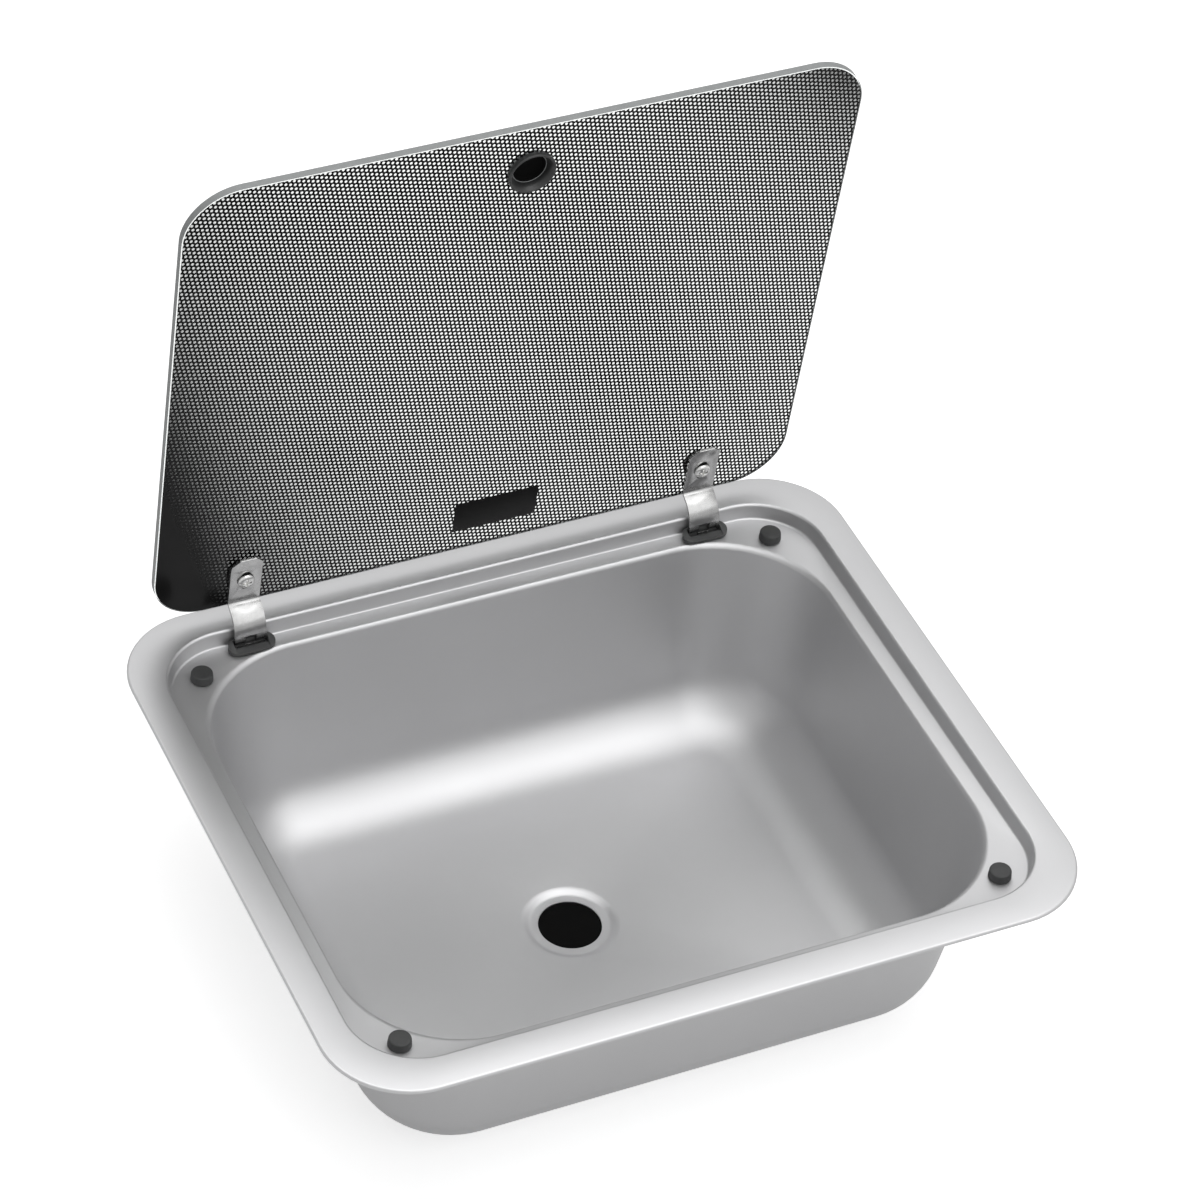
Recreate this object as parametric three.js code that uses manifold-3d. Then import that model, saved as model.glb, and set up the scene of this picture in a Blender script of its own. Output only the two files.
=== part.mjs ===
// A drop-in camper kitchen sink with a fold-down glass lid: a pressed steel bowl in a rim with a recess,
// a glass lid that closes flush into the recess on four rubber bumpers, and two hinges whose curved steel
// straps slide through slotted housings, so that the lid turns about a line hidden under the rear flange.
//
// Millimetres. +X right, +Y to the rear, +Z up. The origin is the middle of the rim, on the worktop.
// The lid stands open.

import * as THREE from 'three';
import Module from 'manifold-3d';
import { mergeVertices } from 'three/addons/utils/BufferGeometryUtils.js';

const wasm = await Module();
wasm.setup();

// ---------------------------------------------------------------- driving dimensions

// Rim
const RIM_WIDTH = 420;
const RIM_DEPTH = 360;
const RIM_CORNER = 46;
const RIM_HEIGHT = 2;
const SHEET = 0.8;
const LIP_RADIUS = 1.4;
const FLANGE_SIDE = 18.5;
const FLANGE_END = 20;

// Recess that takes the closed lid
const RECESS_DEPTH = 9.5;
const RECESS_CORNER = 38;
const STEP_RUN = 1.3;
const CREST_RADIUS = 1.8;
const FOOT_RADIUS = 1.5;
const LEDGE_WIDTH = 10;

// Bowl
const BOWL_DEPTH = 124;
const MOUTH_CORNER = 66;
const MOUTH_RADIUS = 4;
const WALL_DRAFT = 9.5;
const FLOOR_FILLET = 39;
const FLOOR_FALL = 2.5;
const FLOOR_BLEND = 0.95;
const FLOOR_RING_SHARES = [0.35, 0.7];

// Drain
const DRAIN_X = -3.2;
const DRAIN_Y = 5.8;
const DRAIN_HOLE = 35;
const DRAIN_SEAT = 43.5;
const DRAIN_DISH = 54;
const DRAIN_STEP = 2;
const DRAIN_LEAD = 2;
const DRAIN_ROUND = 0.4;

// Seal under the flange
const SEAL_WIDTH = 8;
const SEAL_INSET = 2;

// Rubber bumpers
const BUMPER_INSET_SIDE = 41.4;
const BUMPER_INSET_END = 41.1;
const BUMPER_TOP = 11.8;
const BUMPER_BASE = 12.4;
const BUMPER_HEIGHT = 4.6;
const BUMPER_STEM = 4.4;
const BUMPER_BARB = 7;
const BUMPER_BARB_HEIGHT = 0.6;
const BUMPER_TAIL = 4;
const BUMPER_TAIL_TAPER = 0.8;
const BUMPER_FOOT = 0.5;
const BUMPER_SHOULDER = 1;
const BUMPER_ROUND = 1.1;

// Glass lid: its bottom edge is a height up the glass from the level of the flange top
const GLASS_THICKNESS = 4;
const GLASS_BOTTOM = 9.5;
const GLASS_SIDE_GAP = 3.8;
const GLASS_END_GAP = 0.85;
const GLASS_CORNER = 31;
const GLASS_ARRIS = 0.4;
const LID_OPEN_ANGLE = 96.93;
const LID_OPEN_INSET = 9.5;

// Round grip in the lid
const GRIP_FROM_TOP = 29.7;
const GRIP_NECK = 23;
const GRIP_LIP = 1.5;
const GRIP_WALL = 1.75;
const GRIP_FLANGE_HEIGHT = 3;
const GRIP_MOUTH = 21.6;
const COLLAR_ROUND = 0.5;
const KNOB_HEIGHT = 3.2;
const KNOB_WALL = 1.2;
const KNOB_ROUND = 0.6;

// Hinge straps
const HINGE_X = 134.8;
const STRAP_WIDTH = 18;
const STRAP_THICKNESS = 1.5;
const STRAP_BEND = 3;
const STRAP_TOP = 47.5;
const STRAP_TIP_BEND = 38.6;
const STRAP_TIP_ANGLE = 10;
const STRAP_TIP_CHAMFER = 4.5;
const STRAP_SLOT_WIDTH = 5.4;
const STRAP_SLOT_BOTTOM = 23;
const STRAP_SLOT_TOP = 36.2;
const STRAP_END_ANGLE = 206;
const STRAP_NOTCH_WIDTH = 6.4;
const STRAP_NOTCH_ANGLE = 174;
const STRAP_BEND_STEPS = 6;
const STRAP_ARC_STEPS = 14;
const PAD_THICKNESS = 0.4;
const PAD_INSET = 6;

// Lid screws and their nuts
const SCREW_V = 29.6;
const SCREW_SHANK = 4;
const SCREW_HEAD = 8.6;
const SCREW_HEAD_HEIGHT = 2.2;
const SCREW_RECESS = 4.4;
const NUT_BUSH = 6.4;
const NUT_FLANGE = 17;
const NUT_FLANGE_HEIGHT = 3;
const NUT_EDGE = 1.6;
const NUT_BORE_SHARE = 0.6;
const SCREW_REACH_SHARE = 0.4;
const WASHER_INSET = 0.5;
const WASHER_THICKNESS = 0.8;

// Hinge housings
const HOUSING_LENGTH = 26.5;
const HOUSING_BREADTH = 10;
const HOUSING_RIM = 1.3;
const HOUSING_REAR_RISE = 2.5;
const HOUSING_NECK_LENGTH = 23.5;
const HOUSING_NECK_BREADTH = 7.7;
const HOUSING_NECK_HEIGHT = 11;
const HOUSING_POCKET_LENGTH = 19.6;
const HOUSING_POCKET_REACH = 2.4;
const HOUSING_POCKET_DEPTH = 2.4;
const HOUSING_REAR_WALL = 0.8;
const SLOT_SETBACK = 1.55;
const HOUSING_LUG = 0.9;
const HOUSING_LUG_SETBACK = 2;
const HOUSING_LUG_HEIGHT = 1.6;
const TONGUE_WIDTH = 5.6;
const TONGUE_THICKNESS = 1;
const TONGUE_HEIGHT = 2.5;
const TONGUE_START = 173;
const TONGUE_END = 205;
const SLOT_START = 165;
const SLOT_END = 265;
const SPRING_WIDTH = 5;
const SPRING_THICKNESS = 0.5;
const SPRING_START = 199;
const SPRING_END = 215;
const SPRING_PLAY = 5;

// Clearances
const SEAT_GAP = 0.3;
const RUNNING_GAP = 0.4;

// How far a cutting shape stands past the face it cuts
const OVERCUT = 1;

// Facets
const CORNER_STEPS = 8;
const ROUND_STEPS = 20;
const GRIP_STEPS = 28;
const BUMPER_STEPS = 16;

// ---------------------------------------------------------------- levels and places worked out

const FLANGE_TOP = RIM_HEIGHT;
const LEDGE_Z = FLANGE_TOP - RECESS_DEPTH;
const FLOOR_Z = FLANGE_TOP - BOWL_DEPTH;
const BUMPER_TOP_Z = LEDGE_Z + BUMPER_HEIGHT;
const GLASS_CLOSED_Z = BUMPER_TOP_Z + SEAT_GAP;
const STEP_FOOT_X = RIM_WIDTH / 2 - FLANGE_SIDE - STEP_RUN;
const STEP_FOOT_Y = RIM_DEPTH / 2 - FLANGE_END - STEP_RUN;
const BUMPER_X = RIM_WIDTH / 2 - BUMPER_INSET_SIDE;
const BUMPER_Y = RIM_DEPTH / 2 - BUMPER_INSET_END;
const GLASS_HALF_WIDTH = STEP_FOOT_X - GLASS_SIDE_GAP;
const GLASS_CLOSED_REAR = STEP_FOOT_Y - GLASS_END_GAP;
const GLASS_TOP = GLASS_BOTTOM + 2 * GLASS_CLOSED_REAR;
const LID_OPEN_Y = RIM_DEPTH / 2 - LID_OPEN_INSET;
const GRIP_V = GLASS_TOP - GRIP_FROM_TOP;
const GRIP_FLANGE = GRIP_NECK + 2 * GRIP_LIP;
const GRIP_BORE = GRIP_NECK - 2 * GRIP_WALL;
const GRIP_NECK_END = -GLASS_THICKNESS - SEAT_GAP;
const GRIP_KNOB_TOP = GRIP_NECK_END + KNOB_HEIGHT;
const HALF_TURN = Math.PI;

const radians = (degrees) => degrees * Math.PI / 180;

// The lid's one centre of rotation: the point about which the glass turns from its open place
// to its closed place, flat on the bumpers and centred between the front and rear steps.
const openTilt = radians(LID_OPEN_ANGLE);
const closingTurn = HALF_TURN - openTilt;
const openEdge = new THREE.Vector2(GLASS_BOTTOM, 0)
  .rotateAround(new THREE.Vector2(0, 0), openTilt)
  .add(new THREE.Vector2(LID_OPEN_Y, FLANGE_TOP));
const closedEdge = new THREE.Vector2(GLASS_CLOSED_REAR, GLASS_CLOSED_Z);
const pivot = centreOfTurn(openEdge, closedEdge, closingTurn);
const pivotInLid = pivot.clone()
  .sub(new THREE.Vector2(LID_OPEN_Y, FLANGE_TOP))
  .rotateAround(new THREE.Vector2(0, 0), -openTilt);

// In the lid's own frame +Y runs up the glass and +Z points from the glass to the bowl.
const STRAP_MIDDLE_W = SEAT_GAP + PAD_THICKNESS + SEAT_GAP + STRAP_THICKNESS / 2;
const STRAP_FACE_W = STRAP_MIDDLE_W + STRAP_THICKNESS / 2;
const NUT_BACK_W = -GLASS_THICKNESS - SEAT_GAP - WASHER_THICKNESS - SEAT_GAP;

// The slot in the ledge stands a little in front of the step's foot, and the strap's arc runs through it.
const slotRearY = STEP_FOOT_Y - SLOT_SETBACK;
const strapInnerRadius = RUNNING_GAP + Math.hypot(pivot.x - slotRearY, pivot.y - LEDGE_Z);
const strapOuterRadius = strapInnerRadius + STRAP_THICKNESS;
const STRAP_RADIUS = strapInnerRadius + STRAP_THICKNESS / 2;
const slotFrontY = pivot.x - Math.sqrt((strapOuterRadius + RUNNING_GAP) ** 2 - (pivot.y - LEDGE_Z) ** 2);
const HOUSING_REAR = slotRearY + HOUSING_REAR_WALL;
const HOUSING_FRONT = HOUSING_REAR - HOUSING_BREADTH;
const HOUSING_NECK_FRONT = HOUSING_REAR - HOUSING_NECK_BREADTH;
const HOUSING_POCKET_FRONT = slotFrontY - HOUSING_POCKET_REACH;
const HOUSING_TOP_Z = LEDGE_Z + SEAT_GAP + HOUSING_RIM;

function centreOfTurn(from, to, turn) {
  const middle = from.clone().add(to).multiplyScalar(0.5);
  const chord = to.clone().sub(from);
  const reach = 0.5 / Math.tan(turn / 2);
  return new THREE.Vector2(middle.x - chord.y * reach, middle.y + chord.x * reach);
}

// ---------------------------------------------------------------- solids

function solid(geometry) {
  const bare = geometry.clone();
  bare.deleteAttribute('normal');
  bare.deleteAttribute('uv');
  const merged = mergeVertices(bare, 1e-4);
  return new wasm.Manifold(new wasm.Mesh({
    numProp: 3,
    vertProperties: merged.getAttribute('position').array,
    triVerts: new Uint32Array(merged.index.array),
  }));
}

function geometryOf(manifold) {
  const mesh = manifold.getMesh();
  const geometry = new THREE.BufferGeometry();
  geometry.setAttribute('position', new THREE.BufferAttribute(mesh.vertProperties, 3));
  geometry.setIndex(new THREE.BufferAttribute(mesh.triVerts, 1));
  const faceted = geometry.toNonIndexed();
  faceted.computeVertexNormals();
  return faceted;
}

function cut(body, ...tools) {
  return tools.reduce((left, tool) => left.subtract(tool), body);
}

// ---------------------------------------------------------------- outlines and shapes

function roundedRectangle(halfWidth, halfHeight, corner, centreY = 0) {
  const shape = new THREE.Shape();
  for (let quadrant = 0; quadrant < 4; quadrant += 1) {
    const signX = quadrant === 0 || quadrant === 3 ? 1 : -1;
    const signY = quadrant < 2 ? 1 : -1;
    const start = quadrant * HALF_TURN / 2;
    shape.absarc(
      signX * (halfWidth - corner),
      centreY + signY * (halfHeight - corner),
      corner,
      start,
      start + HALF_TURN / 2,
    );
  }
  shape.closePath();
  return shape;
}

function stadium(length, front, rear, centreX) {
  const radius = (rear - front) / 2;
  const reach = length / 2 - radius;
  const shape = new THREE.Shape();
  shape.absarc(centreX + reach, front + radius, radius, -HALF_TURN / 2, HALF_TURN / 2);
  shape.absarc(centreX - reach, front + radius, radius, HALF_TURN / 2, HALF_TURN * 1.5);
  shape.closePath();
  return shape;
}

function plate(shape, bottom, top, curveSegments = 12) {
  return new THREE.ExtrudeGeometry(shape, {
    depth: top - bottom,
    bevelEnabled: false,
    curveSegments,
  }).translate(0, 0, bottom);
}

// A profile drawn in (Y, Z) and run along X, centred on centreX.
function runAlongX(shape, width, centreX, curveSegments = 12) {
  const geometry = new THREE.ExtrudeGeometry(shape, {
    depth: width,
    bevelEnabled: false,
    curveSegments,
  });
  geometry.applyMatrix4(new THREE.Matrix4().makeBasis(
    new THREE.Vector3(0, 1, 0),
    new THREE.Vector3(0, 0, 1),
    new THREE.Vector3(1, 0, 0),
  ));
  return geometry.translate(centreX - width / 2, 0, 0);
}

function box(low, high) {
  const size = new THREE.Vector3().subVectors(high, low);
  const middle = new THREE.Vector3().addVectors(high, low).multiplyScalar(0.5);
  return new THREE.BoxGeometry(size.x, size.y, size.z).translate(middle.x, middle.y, middle.z);
}

// A turned solid about +Z: points are [radius, height], listed from the bottom up.
function turned(points, x, y, steps = ROUND_STEPS) {
  const profile = points.map(([radius, height]) => new THREE.Vector2(radius, height));
  return new THREE.LatheGeometry(profile, steps).rotateX(HALF_TURN / 2).translate(x, y, 0);
}

function cylinder(diameter, bottom, top, x, y, steps = ROUND_STEPS) {
  return turned([[0, bottom], [diameter / 2, bottom], [diameter / 2, top], [0, top]], x, y, steps);
}

function mesh(name, geometry, material) {
  const part = new THREE.Mesh(geometry, material.clone());
  part.name = name;
  return part;
}

// ---------------------------------------------------------------- materials

const steel = new THREE.MeshStandardMaterial({ color: 0xc9cbcc, roughness: 0.38, metalness: 1 });
const strapSteel = new THREE.MeshStandardMaterial({ color: 0xa9abab, roughness: 0.3, metalness: 1 });
const screwSteel = new THREE.MeshStandardMaterial({ color: 0xd8d9d9, roughness: 0.16, metalness: 1 });
const darkRubber = new THREE.MeshStandardMaterial({ color: 0x3a3c3c, roughness: 0.75, metalness: 0 });
const darkPlastic = new THREE.MeshStandardMaterial({ color: 0x474949, roughness: 0.55, metalness: 0 });
const printedGlass = new THREE.MeshStandardMaterial({ color: 0x3b3b3b, roughness: 0.1, metalness: 0 });

// ---------------------------------------------------------------- pressed bowl

// The section of the top face, from the foot of the lip to the floor. Each bend has its distance in from
// the rim's edge, its height, its fillet, and the plan corner radius of the outline that runs through it.
function bowlSection() {
  const stepFoot = FLANGE_SIDE + STEP_RUN;
  const mouth = stepFoot + LEDGE_WIDTH;
  const wallRun = (LEDGE_Z - FLOOR_Z) * Math.tan(radians(WALL_DRAFT));
  const floorRun = FLOOR_FILLET * FLOOR_BLEND;
  const extra = FLANGE_END - FLANGE_SIDE;
  return [
    { run: 0, extra: 0, z: 0, fillet: 0, corner: RIM_CORNER, steps: 0 },
    { run: 0, extra: 0, z: FLANGE_TOP, fillet: LIP_RADIUS, corner: RIM_CORNER, steps: 4 },
    { run: FLANGE_SIDE, extra, z: FLANGE_TOP, fillet: CREST_RADIUS, corner: RECESS_CORNER, steps: 4 },
    { run: stepFoot, extra, z: LEDGE_Z, fillet: FOOT_RADIUS, corner: RECESS_CORNER - STEP_RUN, steps: 4 },
    { run: mouth, extra, z: LEDGE_Z, fillet: MOUTH_RADIUS, corner: MOUTH_CORNER, steps: 5 },
    {
      run: mouth + wallRun,
      extra,
      z: FLOOR_Z,
      fillet: FLOOR_FILLET,
      corner: MOUTH_CORNER - wallRun,
      steps: 8,
    },
    {
      run: mouth + wallRun + floorRun,
      extra,
      z: FLOOR_Z,
      fillet: 0,
      corner: MOUTH_CORNER - wallRun - floorRun,
      steps: 0,
    },
  ];
}

// Rounds the bends of a section into stations. A station keeps the way the top face runs there,
// so that the under face can be set off from it by the sheet's thickness.
function roundedStations(bends) {
  const stations = [];
  bends.forEach((bend, index) => {
    const before = bends[index - 1];
    const after = bends[index + 1];
    const here = new THREE.Vector2(bend.run, bend.z);
    if (!before || !after) {
      const along = before
        ? here.clone().sub(new THREE.Vector2(before.run, before.z))
        : new THREE.Vector2(after.run, after.z).sub(here);
      stations.push({ ...bend, along: along.normalize() });
      return;
    }
    const arriving = here.clone().sub(new THREE.Vector2(before.run, before.z));
    const leaving = new THREE.Vector2(after.run, after.z).sub(here);
    const lengthIn = arriving.length();
    const lengthOut = leaving.length();
    arriving.normalize();
    leaving.normalize();
    const turn = Math.atan2(arriving.cross(leaving), arriving.dot(leaving));
    const tangent = bend.fillet * Math.tan(Math.abs(turn) / 2);
    const shareIn = tangent / lengthIn;
    const shareOut = tangent / lengthOut;
    const first = here.clone().addScaledVector(arriving, -tangent);
    const side = new THREE.Vector2(-arriving.y, arriving.x).multiplyScalar(Math.sign(turn));
    const centre = first.clone().addScaledVector(side, bend.fillet);
    const mix = THREE.MathUtils.lerp;
    const startCorner = mix(bend.corner, before.corner, shareIn);
    const endCorner = mix(bend.corner, after.corner, shareOut);
    const startExtra = mix(bend.extra, before.extra, shareIn);
    const endExtra = mix(bend.extra, after.extra, shareOut);
    for (let step = 0; step <= bend.steps; step += 1) {
      const share = step / bend.steps;
      const point = first.clone().rotateAround(centre, turn * share);
      stations.push({
        run: point.x,
        z: point.y,
        extra: mix(startExtra, endExtra, share),
        corner: mix(startCorner, endCorner, share),
        along: arriving.clone().rotateAround(new THREE.Vector2(0, 0), turn * share),
      });
    }
  });
  return stations;
}

function setOff(station, distance) {
  const under = new THREE.Vector2(station.along.y, -station.along.x);
  return {
    ...station,
    run: station.run + under.x * distance,
    z: station.z + under.y * distance,
    corner: station.corner - under.x * distance,
  };
}

function ringAt({ run, extra, z, corner }) {
  const halfX = RIM_WIDTH / 2 - run;
  const halfY = RIM_DEPTH / 2 - run - extra;
  const points = [];
  for (let quadrant = 0; quadrant < 4; quadrant += 1) {
    const signX = quadrant === 0 || quadrant === 3 ? 1 : -1;
    const signY = quadrant < 2 ? 1 : -1;
    for (let step = 0; step <= CORNER_STEPS; step += 1) {
      const angle = (quadrant + step / CORNER_STEPS) * HALF_TURN / 2;
      points.push(new THREE.Vector3(
        signX * (halfX - corner) + corner * Math.cos(angle),
        signY * (halfY - corner) + corner * Math.sin(angle),
        z,
      ));
    }
  }
  return points;
}

function circleAt(diameter, z) {
  const count = 4 * (CORNER_STEPS + 1);
  return Array.from({ length: count }, (_, index) => {
    const angle = (index + 0.5) / count * HALF_TURN * 2;
    return new THREE.Vector3(
      DRAIN_X + diameter / 2 * Math.cos(angle),
      DRAIN_Y + diameter / 2 * Math.sin(angle),
      z,
    );
  });
}

// The floor between its flat outline and the drain, falling a little towards the drain.
function floorRings(outline, drainEdge, offset) {
  return FLOOR_RING_SHARES.map((share) => outline.map((point, index) => {
    const ring = point.clone().lerp(drainEdge[index], share);
    ring.z = FLOOR_Z - FLOOR_FALL * share - offset;
    return ring;
  }));
}

// One closed surface through a closed list of rings, each with as many points as the next.
function loft(rings) {
  const count = rings[0].length;
  const positions = rings.flat().flatMap((point) => [point.x, point.y, point.z]);
  const indices = [];
  rings.forEach((_, ring) => {
    const next = (ring + 1) % rings.length;
    for (let point = 0; point < count; point += 1) {
      const beside = (point + 1) % count;
      const a = ring * count + point;
      const b = ring * count + beside;
      const c = next * count + beside;
      const d = next * count + point;
      indices.push(a, b, c, a, c, d);
    }
  });
  const geometry = new THREE.BufferGeometry();
  geometry.setAttribute('position', new THREE.Float32BufferAttribute(positions, 3));
  geometry.setIndex(indices);
  return geometry;
}

function pressedBowl() {
  const top = roundedStations(bowlSection());
  const under = top.map((station) => setOff(station, SHEET));
  const floorEdgeZ = FLOOR_Z - FLOOR_FALL;
  const seatZ = floorEdgeZ - DRAIN_STEP;
  const dish = [
    [DRAIN_DISH, floorEdgeZ],
    [DRAIN_DISH - 2 * DRAIN_LEAD, floorEdgeZ - DRAIN_ROUND],
    [DRAIN_SEAT + DRAIN_LEAD, seatZ + DRAIN_ROUND],
    [DRAIN_SEAT, seatZ],
    [DRAIN_HOLE, seatZ],
  ];
  const topRings = top.map(ringAt);
  const underRings = under.map(ringAt);
  const dishTop = dish.map(([diameter, z]) => circleAt(diameter, z));
  const dishUnder = dish.map(([diameter, z]) => circleAt(diameter, z - SHEET));
  const floorTop = floorRings(topRings[topRings.length - 1], dishTop[0], 0);
  const floorUnder = floorRings(underRings[underRings.length - 1], dishUnder[0], SHEET);
  const upper = [...topRings, ...floorTop, ...dishTop];
  const lower = [...underRings, ...floorUnder, ...dishUnder];
  return solid(loft([...upper, ...lower.reverse()]));
}

// ---------------------------------------------------------------- hinge housing

// Part of a ring about the hinge line, as a (Y, Z) profile. Angles are from +Y towards +Z.
function arcBand(inner, outer, start, end) {
  const shape = new THREE.Shape();
  shape.absarc(pivot.x, pivot.y, outer, start, end);
  shape.absarc(pivot.x, pivot.y, inner, end, start, true);
  shape.closePath();
  return shape;
}

function housingCutOut(x) {
  const grown = stadium(
    HOUSING_NECK_LENGTH + 2 * SEAT_GAP,
    HOUSING_NECK_FRONT - SEAT_GAP,
    HOUSING_REAR + SEAT_GAP,
    x,
  );
  return solid(plate(grown, LEDGE_Z - 4 * SHEET, HOUSING_TOP_Z + SEAT_GAP));
}

function housing(x) {
  const neckBottom = LEDGE_Z - HOUSING_NECK_HEIGHT;
  const rimBottom = LEDGE_Z + SEAT_GAP;
  const rimShape = stadium(HOUSING_LENGTH, HOUSING_FRONT, HOUSING_REAR, x);
  const neckShape = stadium(HOUSING_NECK_LENGTH, HOUSING_NECK_FRONT, HOUSING_REAR, x);
  const tongueBack = strapInnerRadius - RUNNING_GAP;
  const tongueFront = tongueBack - TONGUE_THICKNESS;
  const tongue = runAlongX(
    arcBand(tongueFront, tongueBack, radians(TONGUE_START), radians(TONGUE_END)),
    TONGUE_WIDTH,
    x,
  );
  const tongueRoom = box(
    new THREE.Vector3(x - TONGUE_WIDTH, HOUSING_FRONT, neckBottom),
    new THREE.Vector3(x + TONGUE_WIDTH, HOUSING_REAR, HOUSING_TOP_Z + TONGUE_HEIGHT),
  );
  const lugShape = stadium(
    HOUSING_NECK_LENGTH + 2 * HOUSING_LUG,
    HOUSING_NECK_FRONT + HOUSING_LUG_SETBACK,
    HOUSING_REAR,
    x,
  );
  const lugTop = LEDGE_Z - SHEET - SEAT_GAP;
  const lugs = plate(lugShape, lugTop - HOUSING_LUG_HEIGHT, lugTop);
  const slot = runAlongX(
    arcBand(
      strapInnerRadius - RUNNING_GAP,
      strapOuterRadius + RUNNING_GAP,
      radians(SLOT_START),
      radians(SLOT_END),
    ),
    STRAP_WIDTH + 2 * RUNNING_GAP,
    x,
    ROUND_STEPS,
  );
  const rearTop = HOUSING_TOP_Z + HOUSING_REAR_RISE;
  const pocketFloor = HOUSING_TOP_Z - HOUSING_POCKET_DEPTH;
  const pocket = box(
    new THREE.Vector3(x - HOUSING_POCKET_LENGTH / 2, HOUSING_POCKET_FRONT, pocketFloor),
    new THREE.Vector3(x + HOUSING_POCKET_LENGTH / 2, slotRearY - RUNNING_GAP, rearTop + OVERCUT),
  );
  const springRoom = runAlongX(
    arcBand(
      strapOuterRadius,
      strapOuterRadius + 3 * SEAT_GAP + SPRING_THICKNESS,
      radians(SPRING_START - SPRING_PLAY),
      radians(SPRING_END + SPRING_PLAY),
    ),
    SPRING_WIDTH + 2 * SEAT_GAP,
    x,
  );
  // The rim's top climbs from the ledge towards the step, except under the shut strap.
  const wedge = new THREE.Shape([
    new THREE.Vector2(HOUSING_FRONT, rimBottom),
    new THREE.Vector2(HOUSING_REAR, rimBottom),
    new THREE.Vector2(HOUSING_REAR, rearTop),
    new THREE.Vector2(HOUSING_FRONT, HOUSING_TOP_Z),
  ]);
  const strapRoom = box(
    new THREE.Vector3(x - STRAP_WIDTH / 2 - RUNNING_GAP, HOUSING_FRONT - OVERCUT, HOUSING_TOP_Z),
    new THREE.Vector3(x + STRAP_WIDTH / 2 + RUNNING_GAP, slotFrontY + RUNNING_GAP, rearTop + OVERCUT),
  );
  const climbingRim = solid(plate(rimShape, rimBottom, rearTop))
    .intersect(solid(runAlongX(wedge, HOUSING_LENGTH, x)))
    .subtract(solid(strapRoom));
  const shell = climbingRim
    .add(solid(plate(neckShape, neckBottom, HOUSING_TOP_Z)))
    .add(solid(lugs));
  return cut(shell, solid(pocket), solid(springRoom), solid(slot))
    .add(solid(tongue).intersect(solid(tongueRoom)));
}

// A leaf of spring steel in front of the strap that holds it where it is put.
function detentSpring(x) {
  const inner = strapOuterRadius + SEAT_GAP;
  const band = arcBand(inner, inner + SPRING_THICKNESS, radians(SPRING_START), radians(SPRING_END));
  return solid(runAlongX(band, SPRING_WIDTH, x));
}

// ---------------------------------------------------------------- hinge strap, in the lid's frame

// The middle line of the strap as (w, v) points with the way it runs: down the glass from the tip,
// out through a tight bend, then round the hinge line. w is the distance from the glass to the bowl side.
function strapPath() {
  const path = [];
  const centre = new THREE.Vector2(pivotInLid.y, pivotInLid.x);
  const bendW = STRAP_MIDDLE_W + STRAP_BEND;
  const bendV = centre.y + Math.sqrt((STRAP_RADIUS + STRAP_BEND) ** 2 - (bendW - centre.x) ** 2);
  const bendCentre = new THREE.Vector2(bendW, bendV);
  const meet = Math.atan2(bendV - centre.y, bendW - centre.x);
  const tipTurn = radians(STRAP_TIP_ANGLE);
  const tipLength = STRAP_TOP - STRAP_TIP_BEND;
  path.push(new THREE.Vector2(STRAP_MIDDLE_W + tipLength * Math.tan(tipTurn), STRAP_TOP));
  path.push(new THREE.Vector2(STRAP_MIDDLE_W, STRAP_TIP_BEND));
  const onCircle = (middle, radius, angle) => new THREE.Vector2(
    middle.x + radius * Math.cos(angle),
    middle.y + radius * Math.sin(angle),
  );
  for (let step = 0; step <= STRAP_BEND_STEPS; step += 1) {
    const angle = THREE.MathUtils.lerp(HALF_TURN, HALF_TURN + meet, step / STRAP_BEND_STEPS);
    path.push(onCircle(bendCentre, STRAP_BEND, angle));
  }
  const endAngle = HALF_TURN / 2 - (radians(STRAP_END_ANGLE) - openTilt);
  for (let step = 1; step <= STRAP_ARC_STEPS; step += 1) {
    const angle = THREE.MathUtils.lerp(meet, endAngle, step / STRAP_ARC_STEPS);
    path.push(onCircle(centre, STRAP_RADIUS, angle));
  }
  return path;
}

// The outline of a strip of even thickness along a path.
function stripAlong(path, thickness) {
  const sides = path.map((point, index) => {
    const before = path[Math.max(index - 1, 0)];
    const after = path[Math.min(index + 1, path.length - 1)];
    const towards = point.clone().sub(before).normalize();
    const onwards = after.clone().sub(point).normalize();
    const along = towards.add(onwards).normalize();
    const stretch = 1 / Math.max(along.dot(index ? point.clone().sub(before).normalize() : along), 0.8);
    return new THREE.Vector2(-along.y, along.x).multiplyScalar(thickness / 2 * stretch);
  });
  const left = path.map((point, index) => point.clone().add(sides[index]));
  const right = path.map((point, index) => point.clone().sub(sides[index]));
  return new THREE.Shape([...left, ...right.reverse()]);
}

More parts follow.
